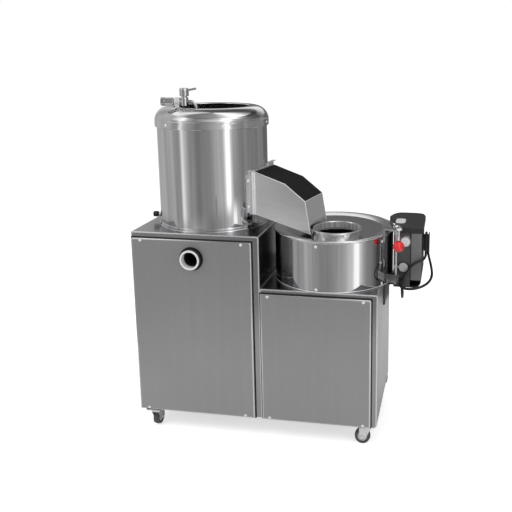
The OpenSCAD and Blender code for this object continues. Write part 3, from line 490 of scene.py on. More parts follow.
# ---------------------------------------------------------------- mains lead
CORD_R, CORD_SIDE = 4.0, RIGHT_SIDE - 12.6
BOX_ROUTE = [
    (26, -14, 23), (26, -38, 23), (32, -58, 23), (50, -71, 24), (74, -72, 27),
    (98, -60, 33), (115, -36, 41), (121, 0, 51), (116, 45, 65), (108, 85, 80),
    (101, 109, 102), (98, 117, 129), (98, 108, 152), (98, 85, 161), (98, 62, 152),
    (98, 53, 129), (99, 38, 113), (99, 12, 105), (91, -8, 98), (70, -15, 90),
    (54, -16, 74), (41, -16, 55), (32, -16, 33), (29, -15, 9), (29, -9, -14),
    (29, 7, -31), (28, 30, -38), (24, 90, -39), (16, 155, -39), (6, 198, -41)]
BACK_ROUTE = [
    (36, -5, BOX_Z - 48), (16, 18, BOX_Z - 67), (4, 20, BOX_Z - 97), (0, 12, BOX_Z - 135),
    (0, 12, 200), (0, 12, 80), (0, 13, 44), (0, 19, 24), (0, 34, 9), (0, 54, 4)]
COIL_INNER, COIL_TURNS, COIL_STEP = 33.0, 3, 8.2
COIL_OUTER = COIL_INNER + COIL_TURNS * COIL_STEP
COIL_X, COIL_Y = CORD_SIDE - COIL_OUTER, BACK + 82
TAIL = [(-24, 12.6), (-50, 13.4), (-72, 14.6), (-86, 15), (-98, 15)]
TAIL_Y = COIL_Y + COIL_INNER


def smooth(p, steps):
    """Points of a curve through points p, so many to each of its spans."""
    out = []
    for i in range(len(p) - 1):
        a, b, c, d = (Vector(p[k]) for k in (max(i - 1, 0), i, i + 1, min(i + 2, len(p) - 1)))
        for t in (k / steps for k in range(steps)):
            out.append(0.5 * (2 * b + (c - a) * t + (2 * a - 5 * b + 4 * c - d) * t * t
                              + (3 * b - a - 3 * c + d) * t ** 3))
    return out + [Vector(p[-1])]


def coil_point(turns):
    """Place on the coil after so many turns, wound inwards from its right side, with its end laid on top."""
    x, y = spoke(COIL_OUTER - COIL_STEP * min(turns, COIL_TURNS), 360 * turns)
    rise = max(0.0, min(1.0, (turns - COIL_TURNS + 0.02) / 0.25))
    return Vector((COIL_X + x, COIL_Y + y, CORD_R + 8.4 * rise * rise * (3 - 2 * rise)))


route = smooth([(BOX_X + x, BOX_Y + y, BOX_Z + z) for x, y, z in BOX_ROUTE]
               + [(CORD_SIDE + x, BACK + y, z) for x, y, z in BACK_ROUTE], 6)
route += [coil_point(i / 36) for i in range(1, int(36 * (COIL_TURNS + 0.25)) + 1)]
route += smooth([route[-1]] + [(COIL_X + x, TAIL_Y, z) for x, z in TAIL], 4)[1:]
cord_points = [P(*p) for p in route]
cord_curve = bpy.data.curves.new("mains_lead", "CURVE")
cord_curve.dimensions = "3D"
cord_curve.bevel_depth = CORD_R / 1000
cord_curve.bevel_resolution = 3
cord_curve.use_fill_caps = True
cord_curve.materials.append(cord_rubber)
spline = cord_curve.splines.new("POLY")
spline.points.add(len(cord_points) - 1)
for point, p in zip(spline.points, cord_points):
    point.co = (*p, 1.0)
lead = link_object("mains_lead", cord_curve)
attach(lead, "machine")
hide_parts("power_cord", "cord_coil")

# plug, its cord side towards the coil
b = Build()
m = upright(COIL_X - 104, TAIL_Y, 15)
b.prism(rounded_rect(36, 34, 9), -14.5, 14.5, m @ shift(-30, 0, 0))
b.lathe([(0, -12), (14, -12), (13.4, -6), (12, 0), (9.2, 2), (9.2, 4), (7.6, 4.6), (7.6, 6.6), (8.4, 7.2),
         (8.2, 9.2), (6.9, 9.8), (6.9, 11.6), (7.4, 12.2), (7.1, 14.2), (6.2, 14.8), (6.0, 17.5), (0, 17.5)],
        m @ rot(90, "Y"), 32)
for s in (-1, 1):
    for k in range(4):
        b.prism(rounded_rect(16, 1.4, 0.6, 2), -0.3, 0.8, m @ shift(-30, s * 17, 4 * k - 6) @ rot(90, "X"))
b.material = 1
for y in (-9.5, 9.5):
    b.lathe([(0, 0), (2.4, 0), (2.4, 17), (1.6, 18.8), (0, 19)], m @ shift(-48, y, 0) @ rot(-90, "Y"), 20)
plug = b.done("mains_plug", [black_plastic, bright_steel], bevel=1.6, segments=3,
              replaces="power_plug")

# tie round the coil
TIE_TURN = 230
b = Build()
x, y = spoke(45, TIE_TURN)
outer, inner = rounded_rect(37, 10.2, 4.8, 6), rounded_rect(35.6, 8.8, 4.2, 6)
b.loft([[(x0, -4, z0), (x1, -4, z1), (x1, 4, z1), (x0, 4, z0)] for (x0, z0), (x1, z1) in zip(outer, inner)],
       upright(COIL_X + x, COIL_Y + y, 5.3, TIE_TURN))
tie = b.done("coil_tie", tie_rubber)

# gland with a ribbed relief, and saddle on the box
b = Build()
m = at(GLAND_X, BOX_Y, GLAND_Z, FRONT)
b.prism(hexagon(20), 0.2, 6, m)
b.lathe([(4.1, 6), (9.4, 6), (9.8, 7), (9.6, 9.6), (8.2, 10.4), (4.1, 10.4)], m, 40)
relief = [(4.1, 9.5), (7.2, 9.5)]
for k in range(6):
    z, r = 12 + 4.0 * k, 7.2 - 0.33 * k
    relief += [(r, z), (r - 1.1, z + 0.7), (r - 1.1, z + 2.0), (r - 0.1, z + 2.7)]
b.lathe(relief + [(5.2, 36.5), (4.1, 37)], m, 32)
m = at(BOX_RIGHT, 235, 604, (1, 0, 0), 90)
b.prism(arc(0, 0, 27.5, -12, 192, 34), 0.2, 19.2, m)
b.prism(arc(0, 0, 34.5, -9, 189, 33), 19, 22, m)
b.done("lead_holders", black_plastic, bevel=0.8, replaces="cord_holders")

# clips under the box and behind the cabinet
b = Build()
clip = both_ends([(4.4, -4.6), (6.1, -5), (6.4, -4)])
under, behind = (BOX_X + 18, BOX_Y + 144, BOX_Z - 39), (CORD_SIDE, BACK + 12, 305)
b.lathe(clip, at(*under, (*spoke(1, 99), 0)), 32)
b.lathe(clip, at(*behind), 32)
b.prism(rounded_rect(6, 10, 1), 6.2, 34.9, upright(*under))
b.prism([(-3, -6.2), (3, -6.2), (3, -9.9), (-3, -9.9)], -5, 5, upright(*behind))
b.done("lead_clips", black_plastic, bevel=0.4)

# ---------------------------------------------------------------- screws, nuts, knob
b = Build()
for xs, zs in (((34, 357), (77, 637)), ((436, 731), (77, 477))):
    for x in xs:
        for z in zs:
            b.pan_head(at(x, 0, z, FRONT))
for turn in range(0, 360, 60):
    b.pan_head(outward(DRUM, HOOD_R, HOOD_Z + 11, turn))
for turn in (-169, -97, -31):
    for z in (RIGHT_TOP + 9, CASE_TOP - 10):
        b.pan_head(outward(SLICER, CASE_R + 2.55, z, turn))
for z in (GATE_LOW + 26, GATE_TOP - 28):
    b.pan_head(outward(DRUM, STRIP_R, z, -34.25))
b.done("pan_screws", screw_steel, replaces="cover_screws")

b = Build()
for turn in (60, 120, 180):
    for z in (713, 811, 959):
        m = outward(DRUM, DRUM_R, z, turn, 15)
        b.lathe([(2, 0.05), (5, 0.05), (5, 1.0), (4.6, 1.4), (2, 1.4)], m, 28)
        b.prism(hexagon(7.6), 1.2, 3.9, m)
        b.lathe([(0, 1), (3.5, 1), (3.5, 3.9)] + arc(0, 3.3, 2.6, 15, 90, 4), m, 20)
b.done("liner_nuts", black_plastic, bevel=0.25, replaces="liner_bolts")

b = Build()
knob = at(DRUM[0] - DRUM_R, 150, LEFT_TOP + 24, (-1, 0, 0))
b.prism([spoke(8.9 + 0.55 * math.cos(math.radians(6 * a)), a) for a in range(0, 360, 6)], 6.5, 20.5, knob)
b.lathe([(0, 2.2), (6, 2.2), (6.2, 6.8), (0, 6.8)], knob, 32)
b.lathe([(0, 20.2), (6.5, 20.2), (5.9, 21.4), (0, 21.9)], knob, 32)
b.material = 1
b.lathe([(0, -3.4), (3.9, -3.4), (3.95, 2.4), (0, 2.4)], knob, 28)
b.done("hand_knob", [black_plastic, turned_steel], "clamp_screw", bevel=1.2, segments=3,
       replaces="clamp_knob")

# ---------------------------------------------------------------- casters
CASTERS = [(46, 26, 90), (740.6, 36, 180), (46, 330, 90), (740.6, 344, 180)]
TYRE = both_ends([(15.2, -6.5), (15.8, -8.2), (18.6, -9.7), (23.4, -9.0)], arc(18.4, 0, 6.6, -50, 50, 8))
HUB = both_ends([(4.05, -10.6), (8.6, -10.6), (9.0, -10.2), (9.2, -7.6), (11, -7.0), (14.2, -7.2), (15.4, -7.8),
                 (15.6, -6.4)])
bolts = Build()
for i, (x, y, turn) in enumerate(CASTERS, 1):
    axle = upright(x, y, 0, turn) @ shift(14, 0, 25) @ rot(-90, "X")
    b = Build()
    b.lathe(TYRE, axle, 72)
    b.material = 1
    b.lathe(HUB, axle, 72)
    b.done(f"wheel_tyre_{i}", [wheel_rubber, hub_plastic], f"wheel_{i}",
           replaces=f"caster_wheel_{i}")
    b = Build()
    for flip in (0, 180):
        b.prism(hexagon(11, 15 * i), 13.6, 15.9, axle @ rot(flip, "X"))
    b.done(f"axle_nuts_{i}", bright_steel, f"fork_{i}", bevel=0.4)
    for along in (-21, 21):
        for across in (-18, 18):
            bolts.prism(hexagon(8), -3.4, -0.05, upright(x, y, FOOT - 3, turn) @ shift(along, across, 0))
bolts.done("plate_bolts", turned_steel, bevel=0.3)

# ---------------------------------------------------------------- front covers and folded edges
FOLD, SKIN, HEM, HEM_IN = 4.5, 1.5, 2.4, 1.68


def extent(node):
    """Low corner, middle and high corner of a CAD node's box, in metres."""
    low, high = (Vector(corner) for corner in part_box(node))
    return low, (low + high) / 2, high


def tray(name, node, hole=None):
    """Front cover with rounded folds, as large as its CAD node, and a black rim behind it, painted shade of the gap
    round the cover. hole is a place in metres.
    """
    low, middle, high = extent(node)
    w, deep, h = (high - low) * 1000
    m = facing((middle.x, low.y, middle.z))
    holes = [disc((hole.x - middle.x) * 1000, (hole.z - middle.z) * 1000, 37.5)] if hole else []
    outer, inner = (arc(FOLD, FOLD, r, 180, 270, 5) for r in (FOLD, FOLD - SKIN))
    b = Build()
    # folds in steel lighter than the cover's: their round shape gives real highlights, the lighter tone a painted
    # highlight
    b.material = 1
    b.loft([[(x, z, -y) for x, z in rounded_rect(w - 2 * inset, h - 2 * inset, max(5 - inset, 0.5), 4)]
            for inset, y in [(0, deep), *outer, *reversed(inner), (SKIN, deep)]], m)
    b.material = 0
    b.plate(rounded_rect(w - 2 * FOLD, h - 2 * FOLD, 0.5, 4), holes, -SKIN, 0, m)
    # black rim behind the cover, showing round it: painted shade of the gap
    b.material = 2
    b.plate(rounded_rect(w + 6, h + 6, 2, 3), [rounded_rect(w - 16, h - 16, 2, 3)], 0.1 - deep, 1 - deep, m)
    b.done(name, [cover_steel, fold_highlight_steel, belt_rubber], replaces=node)


_, drain, drain_end = extent("drain_pipe")
tray("left_cover_tray", "left_front_cover", drain)
tray("right_cover_tray", "right_front_cover")

# hems round the cabinets' edges: their round shape gives real highlights, and their steel, lighter than the cabinets'
# own, adds painted highlight
b = Build()
for x0, x1, top in ((0, LEFT_W, LEFT_TOP), (LEFT_W, RIGHT_SIDE, RIGHT_TOP)):
    y, z = 10 + HEM_IN, top - HEM_IN
    b.tube([(x0 + HEM, y, z), (x1 - HEM_IN, y, z)], HEM, CORNER, 12)
    for x in (x0 + HEM, x1 - HEM_IN):
        b.tube([(x, y, z), (x, BACK - HEM_IN, z)], HEM, CORNER, 12)
        b.tube([(x, y, FOOT + 1), (x, y, z)], HEM, CORNER, 12)
b.done("cabinet_hems", hem_and_highlight_steel)

# drain stub: thick white plastic pipe in a black sleeve; a black liner and end disc in its bore and the sleeve's
# flange behind the hole are painted shade
b = Build()
front = P(0, 0, 0).y
end = (front - drain_end.y) * 1000
m = facing((drain.x, front, drain.z))
b.lathe([(31.4, end), (31.4, 16.4), (30.6, 17.6), (28.5, 18), (26.0, 17.6), (25.2, 16.6), (25.2, end)], m, 96)
# painted shade: black liner and end disc in the pipe's bore
b.material = 1
b.lathe([(25.1, -75), (25.1, -3), (24.5, -3), (24.5, -74), (0, -74), (0, -75)], m, 96)
# black sleeve round the pipe; its flange behind the hole fills the gap with painted shade
b.lathe([(31.5, -9), (44, -9), (44, -4), (33.4, -4), (33.4, 13.4), (32.6, 14.2), (31.5, 14.2)], m, 96)
b.done("drain_stub", [white_plastic, belt_rubber], replaces="drain_pipe")

# ---------------------------------------------------------------- drum: hood, seam, foot
drum = upright(*DRUM, 0)
b = Build()
outer = [(175.3, 0), (180.4, 0), (HOOD_R, 0.7), (HOOD_R, 20.5), (181.3, 21.3), (181.1, 22.6), (180.2, 23.4)]
outer += arc(136, 16, 45, 10, 87, 20) + [(136, 61), (123, 61)] + arc(122.2, 58, 3, 90, 250, 8)
inner = [(124.2, 56), (136, 58.5)] + arc(136, 16, 42.5, 87, 3, 16) + [(178.5, 16), (178.5, 8.2), (175.3, 8)]
b.lathe(outer + inner, upright(*DRUM, HOOD_Z), 144)
b.done("drum_top", hood_steel, replaces="drum_hood")

b = Build()
b.lathe([(175.05, 664), (175.55, 664.2), (175.75, 665), (175.75, 977), (175.55, 977.8), (175.05, 978)], drum,
        6, -69.6, -67.8)
b.done("drum_seam", drum_steel)

b = Build()
foot = [(175.06, 0.05), (180, 0.05), (180, 2)] + arc(177.4, 3.4, 2.5, 10, 80, 5) + [(176.3, 6.4), (176.3, 8)]
b.lathe(foot + arc(175.3, 10.4, 2.1, -70, 85, 6) + [(175.06, 13.8)], upright(*DRUM, LEFT_TOP), 144)
b.lathe([(4.06, -4.4), (6.9, -4.4), (6.9, 1.0), (6.4, 1.5), (4.06, 1.5)], knob, 40)
b.done("drum_foot", drum_steel, replaces="drum_base_ring")

# ---------------------------------------------------------------- slicer: bead, rolled lips of lid and feed ring
lid, ring = upright(*SLICER, CASE_TOP), upright(*RING, CASE_TOP)
b = Build()
b.lathe(arc(192.2, 2, 1.9, -90, 90, 8) + [(190.05, 4), (190.05, 0.1)], upright(*SLICER, RIGHT_TOP), 144)
b.done("casing_bead", edge_steel)
b = Build()
b.lathe([(186, 2.6), (187, 6.9)] + arc(191.6, 5.4, 2.9, 150, -60, 12) + [(189.2, 2.6)], lid, 144)
rows = []
for k in range(144):
    x, y = spoke(1, 2.5 * k)
    along = RING_SHIFT.dot(Vector((x, y)))
    under = RING_R ** 2 - RING_SHIFT.length_squared + along ** 2
    r = 156.0
    if under > 0 and along > 0:
        r = max(r, min(along + math.sqrt(under), 184.0))
    rows.append([(x * d, y * d, z) for d, z in (
        (r, 2.55), (r + 1.6, 3.1), (max(r + 3, 181), 7.6), (max(r + 3.6, 185.5), 8.2), (188.5, 7), (188.5, 2.55))])
b.loft(rows, lid)
b.done("lid_rim", rim_steel)
b = Build()
b.lathe([(73.0, 25.2), (72.4, 26.6), (73.0, 28)] + arc(78.6, 26, 2.6, 100, -80, 8) + [(RING_R, 24.6)], ring, 96)
b.material = 1
b.lathe([(71.7, 8), (72.6, 8), (72.6, 25.4), (71.7, 25)], ring, 96)
b.material = 2
b.lathe([(75.3, 2.8), (76.5, 2.8), (76.5, 23.6), (75.3, 24.4)], ring, 96)
b.done("ring_lip", [rim_steel, sleeve_steel, edge_steel])

# ---------------------------------------------------------------- folded edges of the outlet frame and the chute
FRAME_D, FLANGE_D, CHUTE_D, BEND_Z = 177.0, 181.5, 365.5, 761.4
chute = upright(*DRUM, 0, CHUTE_TURN) @ shift(0, CHUTE_SHIFT, 0)
b = Build()
side = [(FLANGE_D, GATE_LOW + 1), (FLANGE_D, GATE_TOP - 0.8), (FLANGE_D + 100, GATE_TOP - 32.8),
        (CHUTE_D - 17.6, BEND_Z), (CHUTE_D - 0.8, LEFT_TOP)]
for y in (0.8 - HALF, HALF - 0.8):
    b.tube([(d, y, z) for d, z in side], 1.7, chute, 10)
    b.tube([(FLANGE_D + 1, y, GATE_LOW + 1), (CHUTE_D - 0.8, y, LEFT_TOP)], 1.0, chute, 10)
b.tube([(CHUTE_D - 17.6, y, BEND_Z) for y in (1 - HALF, HALF - 1)], 1.2, chute, 10)
b.done("chute_hems", edge_steel)
# black sheet on the chute's sloping top: painted shade for the top's dark look
b = Build()
top = [(FLANGE_D + 1, GATE_TOP - 0.3), (FLANGE_D + 100, GATE_TOP - 32), (CHUTE_D - 17.8, BEND_Z + 1.2)]
b.prism([(d, z + 0.05) for d, z in top] + [(d, z + 0.75) for d, z in reversed(top)], 1.5 - HALF, HALF - 1.5,
        chute @ rot(90, "X"))
b.done("chute_top_painted_shade", painted_shade_black)
b = Build()
for d in (FRAME_D - 5, FLANGE_D - 3.4):
    b.tube([(d, 0.6 - HALF, z) for z in (GATE_LOW + 2, GATE_TOP - 1)], 2.6, chute, 12)
b.tube([(d, y, GATE_TOP + 1.6) for d, y in ((FRAME_D - 28, -HALF - 0.4), (FRAME_D - 1.8, -HALF - 0.4),
                                            (FRAME_D - 1.8, HALF))], 1.8, chute, 12)
b.done("frame_hems", screw_steel)

# strips on the drum's wall beside the frame, the front one under the two screws
b = Build()
low, high = GATE_LOW + 8, GATE_TOP - 8
for s in (-1, 1):
    edge = CHUTE_TURN + s * math.degrees(math.asin((HALF + s * CHUTE_SHIFT) / DRUM_R))
    b.lathe([(DRUM_R + 0.05, low), (STRIP_R, low), (STRIP_R, high), (DRUM_R + 0.05, high)], drum, 8,
            *sorted((edge - s, edge + s * 5.5)))
b.done("frame_strips", hem_and_highlight_steel, bevel=0.5)

# ---------------------------------------------------------------- water tap
tap = upright(144, 76, 1060, 15)
along, valve = tap @ rot(90, "Y"), tap @ shift(21.5, 0, 0)
b = Build()
pipe = [(7, -50), (9.6, -50), (11.8, -49), (12.8, -47.2)]
for k in range(5):
    z = -46.9 + 1.7 * k
    pipe += [(13.2, z), (13.2, z + 0.6), (12.5, z + 0.9), (12.5, z + 1.3)]
pipe += [(13.0, -38.2), (11.2, -38.0), (11.0, -37.5), (12.4, -36.5), (12.4, -13.5), (11.6, -12.4), (10.0, -12.2),
         (10.0, -9), (10.0, 12), (9.4, 14), (0, 14), (0, 10), (7, 8)]
b.lathe(pipe, along, 48)
b.lathe([(0, -14), (8, -14), (11, -12.5), (12, -9), (12, 10), (11.2, 12.6), (8.6, 13.2), (8.4, 16), (0, 16)], valve,
        48)
b.tube([(27, 0, 0)] + [(x, 0, z) for x, z in arc(36.5, -20, 20, 90, 0, 10)], 5.0, tap, 24)
b.done("tap_pipe", chrome, replaces="tap_body")
b = Build()
b.lathe([(10.06, -8), (12.2, -8), (13, -7.2), (13, 6.2), (12.2, 7), (10.06, 7)], along, 48)
b.prism(rounded_rect(12, 21, 1.5), -20, -9.9, tap)
b.prism(rounded_rect(16, 32, 4), -19.95, -17.5, tap)
for s in (-1, 1):
    b.prism(hexagon(7), -17.6, -14.4, tap @ shift(0, s * 12.6, 0))
    b.prism([(-5, s * 10.6), (5, s * 10.6), (4, s * 8), (-4, s * 8)], -12, -2, tap)
b.done("tap_clamp", edge_steel, bevel=0.6, replaces="tap_bracket")
b = Build()
b.lathe([(0, 16.45), (12.8, 16.45), (13.8, 17.4), (14, 19), (14, 37.5), (13.2, 40), (10, 41), (0, 41)], valve, 48)
b.tube([(10, 0, -0.5), (14, 0, -0.5), (22, 0, -0.4), (31, 0, -0.2), (35.5, 0, 0), (37.6, 0, 0)],
       [3.3, 3.5, 3.3, 3.4, 3.4, 1.8], valve @ shift(0, 0, 33) @ rot(-10, "Y"), 20)
b.done("tap_cap", chrome, "tap_handle", replaces="tap_lever")

# ---------------------------------------------------------------- latch
x, y = spoke(LATCH_R, LATCH_TURN)
latch = upright(SLICER[0] + x, SLICER[1] + y, 0, LATCH_TURN)
hang = upright(SLICER[0] + x, SLICER[1] + y, CAM_Z, LEVER_TURN)
b = Build()
rod = [(0, 522), (3.7, 522)]
for k in range(34):
    z = 566 + 2.4 * k
    rod += [(3.98, z), (3.98, z + 0.8), (3.6, z + 1.2), (3.6, z + 2.0)]
b.lathe(rod + [(3.7, 682), (0, 682)], latch, 24)
b.lathe(both_ends([(3.05, -4.4), (7.4, -4.4), (8, -3.6)]), latch @ shift(0, 0, 520) @ rot(90, "X"), 40)
b.prism(hexagon(12), 556, 562, latch)
b.lathe(both_ends([(3.05, -4.4), (5.5, -4.4), (6, -3.8)]), hang @ rot(90, "Y"), 40)
b.done("latch_rod", bright_steel, "swing_rod", replaces="swing_bolt")
b = Build()
b.lathe(both_ends([(0, -10.4), (3.6, -10.4), (3.6, -9), (2.95, -8.8)]), hang @ rot(90, "Y"), 28)
arm = [(0, 6.9), (4.9, 4.9), (6.9, 0), (4.9, -4.9), (4, -7), (4, -32)]
arm += [(-z, y) for z, y in reversed(arm[1:])]
for x in (-7, 7):
    b.prism(arm, -1.95, 1.95, hang @ shift(x, 0, 0) @ rot(90, "Y"))
b.prism([(-8.9, -32), (8.9, -32), (8.9, -20.5), (-8.9, -20.5)], -3.9, 3.9, hang)
b.lathe([(0, -48), (3.4, -48), (3.4, -36), (4.4, -34), (4.4, -5), (3.4, -4), (0, -4)], hang @ shift(0, -28, 0), 28)
b.done("cam_arm", bright_steel, "cam_lever", bevel=0.7, replaces="latch_lever")
b = Build()
ball = [(0, -BALL_R)] + arc(0, 0, BALL_R, -82, 62, 24) + [(6.6, 16.2), (5.0, 16.4), (4.6, 15.4), (3.5, 15.2)]
b.lathe(ball + [(3.5, 6), (0, 6)], shift(*(hang @ Vector((0, -28, -54.3)))) @ MM, 56)
b.done("lever_ball", red_plastic, "cam_lever", replaces="ball_knob")

# ---------------------------------------------------------------- control box
for name, cap_finish, slot, bezel_finish in (("start", start_plastic, "white_plastic", turned_steel),
                                             ("stop", stop_plastic, "grey_plastic", black_plastic)):
    x, z = BUTTONS[name]
    face = at(x, BOX_Y, z, FRONT)
    b = Build()
    b.lathe([(0, -9), (14.6, -9), (14.8, 4.6), (14.2, 6.6), (12.6, 7.7), (9, 8), (4, 7.6), (0, 7.5)], face, 64)
    b.lathe([(0, -21.5), (4.8, -21.5), (4.9, -9), (0, -9)], face, 24)
    b.done(f"{name}_cap", cap_finish, name, replaces=f"{name}_button")
    b = Build()
    b.lathe([(15.7, 0.05), (18.4, 0.05), (18.2, 1.8), (17.2, 3.0), (15.9, 3.0), (15.7, 2.4)], face, 64)
    b.done(f"{name}_bezel", bezel_finish)

# cap, its left side round the casing, with a blank plate
CAP_LEFT, CAP_RIGHT, CAP_FRONT, CAP_BACK, CAP_TOP = BOX_X - 26, BOX_RIGHT + 5, BOX_Y - 4, BOX_Y + 195, BOX_TOP + 20
b = Build()
cap = [(BOX_X, CAP_FRONT), (BOX_X, SLICER[1])]
for k in range(1, 13):
    y = (CAP_BACK - 88 - SLICER[1]) * k / 12
    cap.append((max(CAP_LEFT, SLICER[0] + math.sqrt((CASE_R + 9) ** 2 - y ** 2)), SLICER[1] + y))
cap += [(CAP_LEFT + 40 - x, CAP_BACK - 80 + 2 * y) for x, y in arc(0, 0, 40, 12, 90, 13)]
cap += [(CAP_RIGHT - 30, CAP_BACK), (CAP_RIGHT - 8, CAP_BACK - 8), (CAP_RIGHT, CAP_BACK - 34), (CAP_RIGHT, CAP_FRONT)]
b.prism(cap, BOX_TOP, CAP_TOP, CORNER)
b.done("box_cap", hood_plastic, bevel=3.0, segments=4, replaces="box_hood")
b = Build()
b.prism(rounded_rect(31, 60, 13, 8), 0.02, 1.0, upright(BOX_X + 16, BOX_Y + 72, CAP_TOP))
b.done("blank_plate", white_plastic, bevel=0.3)

# panel with the buttons, lighter strip beside it, screws
PANEL_LOW, STRIP_LOW, PANEL_TOP = BOX_Z + 9, BOX_Z + 30, BOX_TOP + 12
b = Build()
b.plate([(BOX_X + 1, PANEL_LOW), (BOX_X + 1, PANEL_TOP), (BOX_X + 51, PANEL_TOP), (BOX_X + 51, PANEL_LOW)],
        [disc(*place, 15.6) for place in BUTTONS.values()] + [disc(GLAND_X, GLAND_Z, 8)], 0.05, 1.0,
        facing(P(0, BOX_Y, 0)))
b.done("panel_plate", panel_paint)
b = Build()
b.prism(rounded_rect(32, PANEL_TOP - STRIP_LOW, 1.5), 0.05, 1.6,
        at(BOX_X + 71, BOX_Y, (PANEL_TOP + STRIP_LOW) / 2, FRONT))
b.done("panel_strip", strip_paint, bevel=0.4)
b = Build()
for x, z in ((812, 489), (812, 642), (852, 642), (887, 508), (887, 642)):
    b.pan_head(at(x, BOX_Y, z, FRONT), 2.6)
b.done("panel_screws", screw_steel)

# ---------------------------------------------------------------- carried-over CAD nodes
# material of each, and in mm how far its edges are rounded, where they are
NODE_FINISHES = {
    "left_cabinet": (side_steel, 0.8), "right_cabinet": (side_steel, 0.8), "rear_covers": (cover_steel, 0.6),
    "base_frame": (frame_paint, 0), "caster_plates": (turned_steel, 0.6), "drum_shell": (drum_steel, 0),
    "drum_liner": (lining_grit, 0), "drain_pan": (inner_steel, 0), "peeling_disc": (disc_grit, 1.2),
    "disc_cap_nut": (turned_steel, 0), "peeler_shaft": (turned_steel, 0), "peeler_pulley": (cast_iron, 0),
    "bearing_housings": (cast_iron, 0), "shaft_bearings": (turned_steel, 0), "drive_belts": (belt_rubber, 0),
    "drive_motor": (motor_paint, 0.8), "motor_pulley": (cast_iron, 0), "outlet_frame": (frame_steel, 0.6),
    "discharge_gate": (frame_steel, 0.4), "discharge_chute": (chute_steel, 0.7), "slicer_casing": (case_steel, 0),
    "casing_cover": (case_steel, 0), "slicer_lid": (lid_steel, 0.4), "slicing_disc": (turned_steel, 0),
    "slicer_blades": (bright_steel, 0), "slicer_shaft": (turned_steel, 0), "slicer_pulley": (cast_iron, 0),
    "latch_bracket": (side_steel, 0.6), "control_box": (box_paint, 1.2), "button_panel": (panel_paint, 0.8),
    "switch_block": (block_plastic, 0), **{f"caster_fork_{i}": (edge_steel, 0.6) for i in range(1, 5)}}
for name, (material, width) in NODE_FINISHES.items():
    obj = nodes[name]
    obj.data.materials.clear()
    obj.data.materials.append(material)
    if width:
        obj.modifiers.new("weld", "WELD").merge_threshold = 0.00001
        round_edges(obj, width, 2, 35, True)


# ---------------------------------------------------------------- studio
def empty_nodes(owner):
    """Nodes of a material or world, with none in its tree."""
    owner.use_nodes = True
    owner.node_tree.nodes.clear()
    return Nodes(owner.node_tree)


def stage_object(name, material, build):
    """Piece of the stage, with the nodes of its own new material."""
    mesh = bpy.data.meshes.new(name)
    bm = bmesh.new()
    build(bm)
    bm.to_mesh(mesh)
    bm.free()
    mesh.materials.append(bpy.data.materials.new(material))
    obj = link_object(name, mesh)
    return obj, empty_nodes(mesh.materials[0])


# Floor: diffuse, and pale by its own light where the camera sees it, a little of it in reflections
_, t = stage_object("floor", "floor_paper",
                    lambda bm: bmesh.ops.create_grid(bm, x_segments=1, y_segments=1, size=14.0))
rays = t.node("LightPath").outputs
seen = t.calc("MAXIMUM", rays["Is Camera Ray"], rays["Is Transmission Ray"])
level = t.calc("MULTIPLY_ADD", seen, 0.62, t.calc("MULTIPLY", rays["Is Glossy Ray"], 0.10))
paper = t.node("BsdfDiffuse", Color=rgba(0.80)).outputs[0]
glow = t.node("Emission", Color=rgba(1.0), Strength=level).outputs[0]
t.node("OutputMaterial", Surface=t.node("AddShader", paper, glow).outputs[0])

# A round wall of grey panels and a ceiling that only reflections see. Each list gives tones by direction in
# degrees, 0 to the right and -90 in front. The wall's begin with LOW at the floor, and LEVELS has the heights in
# metres between which it goes over to each next list. OVERHEAD is the ceiling's, about the drum's axis.
LOW = [(-180, 0.18), (-166, 0.34), (-155, 0.52), (-144, 0.34), (-134, 0.42), (-124, 0.58), (-112, 0.42),
       (-96, 0.30), (-75, 0.34), (-58, 0.56), (-47, 0.74), (-43, 0.9), (-40, 1.7), (-35, 1.7), (-32, 0.9),
       (-27, 0.62), (-20, 0.36), (-10, 0.24), (0, 0.08), (13, 0.05), (50, 0.10), (62, 0.20), (95, 0.26),
       (118, 0.20), (142, 0.16), (150, 0.31), (160, 0.17), (172, 0.13)]
MIDDLE = [(-180, 0.52), (-160, 0.55), (-153, 0.38), (-146, 0.38), (-143, 0.60), (-141, 1.15), (-138, 1.0),
          (-134, 0.62), (-128, 0.44), (-110, 0.24), (-92, 0.36), (-71, 0.62), (-62, 0.72), (-58, 1.1),
          (-55, 1.9), (-48, 1.9), (-44, 0.9), (-38, 0.50), (-26, 0.36), (-14, 0.28), (-6, 0.40), (2, 0.30),
          (20, 0.28), (56, 0.30), (66, 0.16), (80, 0.16), (120, 0.18), (140, 0.62), (158, 0.44), (168, 0.58)]
HIGH = [(-180, 0.60), (-160, 0.55), (-150, 1.0), (-138, 1.6), (-128, 0.6), (-116, 0.30), (-102, 0.45),
        (-84, 0.75), (-70, 1.0), (-60, 1.8), (-44, 1.8), (-32, 0.7), (-15, 0.40), (15, 0.18), (44, 0.10),
        (66, 0.35), (80, 0.8), (95, 1.05), (120, 1.0), (140, 0.6), (158, 0.40)]
TOP = [(-180, 1.3), (-160, 1.0), (-140, 0.35), (-116, 0.22), (-90, 0.30), (-66, 0.8), (-54, 1.7), (-24, 1.6),
       (-4, 0.5), (16, 0.12), (60, 0.05), (90, 0.25), (125, 0.20), (150, 0.5), (166, 1.2)]
OVERHEAD = [(-180, 1.1), (-166, 1.25), (-150, 0.7), (-136, 0.25), (-100, 0.30), (-62, 0.42), (-42, 0.9),
            (-24, 1.6), (8, 1.4), (26, 0.6), (46, 0.15), (66, 0.08), (90, 0.12), (125, 0.14), (150, 0.40),
            (166, 0.8)]
LEVELS = [(0.40, 0.52, MIDDLE), (1.22, 1.38, HIGH), (1.70, 1.90, TOP)]
WALL_R, CEILING = 1.2, 2.2


def circle(bm, z):
    return [bm.verts.new((x, y, z)) for x, y in disc(0, 0, WALL_R, 96)]


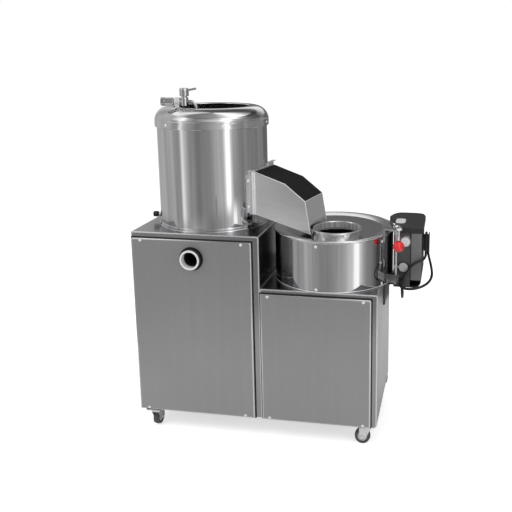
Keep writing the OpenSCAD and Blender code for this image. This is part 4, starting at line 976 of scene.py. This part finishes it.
def wall(bm):
    low, high = circle(bm, -0.005), circle(bm, CEILING)
    for i in range(len(low)):
        bm.faces.new((low[i - 1], low[i], high[i], high[i - 1]))


def glow_round(name, build, centre, tones, levels):
    """Stage piece that only reflections see, with tones about a centre and others above each level."""
    obj, t = stage_object(name, name + "_tones", build)
    obj.visible_camera = obj.visible_diffuse = obj.visible_shadow = obj.visible_transmission = False
    _, parts, angle = t.polar(centre)
    turn = t.node("MapRange", Value=angle, From_Min=-math.pi, From_Max=math.pi).outputs["Result"]

    def by_turn(tones):
        return t.stops(turn, [((a + 180) / 360, v) for a, v in tones + [(180, tones[0][1])]])

    tone = by_turn(tones)
    for low, high, above in levels:
        part = t.node("MapRange", interpolation_type="SMOOTHSTEP", Value=parts["Z"], From_Min=low, From_Max=high)
        tone = t.mix(part.outputs["Result"], tone, by_turn(above))
    t.node("OutputMaterial", Surface=t.node("Emission", Color=tone).outputs[0])


glow_round("studio_wall", wall, (MID_X, MID_Y), LOW, LEVELS)
glow_round("studio_ceiling", lambda bm: bm.faces.new(circle(bm, CEILING)), DRUM, OVERHEAD, [])

# World: white for the camera, in reflections and through clear things, soft light for the rest
world = bpy.data.worlds.new("studio")
bpy.context.scene.world = world
t = empty_nodes(world)
rays = t.node("LightPath").outputs
seen = t.calc("MAXIMUM", rays["Is Camera Ray"], rays["Is Glossy Ray"])
seen = t.calc("MAXIMUM", seen, rays["Is Transmission Ray"])
soft, white = (t.node("Background", Color=rgba(1.0), Strength=strength).outputs[0] for strength in (0.55, 1.0))
t.node("OutputWorld", Surface=t.node("MixShader", seen, soft, white).outputs[0])


def lamp(name, place, target, size, power):
    """Soft lamp that no reflection shows."""
    data = bpy.data.lights.new(name, "AREA")
    data.shape = "RECTANGLE"
    data.size, data.size_y = size
    data.energy = power
    obj = link_object(name, data)
    obj.location = place
    obj.rotation_euler = (Vector(target) - Vector(place)).to_track_quat("-Z", "Y").to_euler()
    obj.visible_glossy = obj.visible_camera = False


lamp("key", (-1.3, -1.5, 2.3), (0, 0, 0.5), (1.4, 1.4), 26)
lamp("fill", (1.7, -1.3, 1.5), (0.1, 0, 0.5), (1.2, 1.6), 10)
lamp("back", (0.3, 1.9, 2.2), (0, 0, 0.6), (2.0, 1.0), 12)

bpy.context.scene.view_settings.view_transform = "Standard"
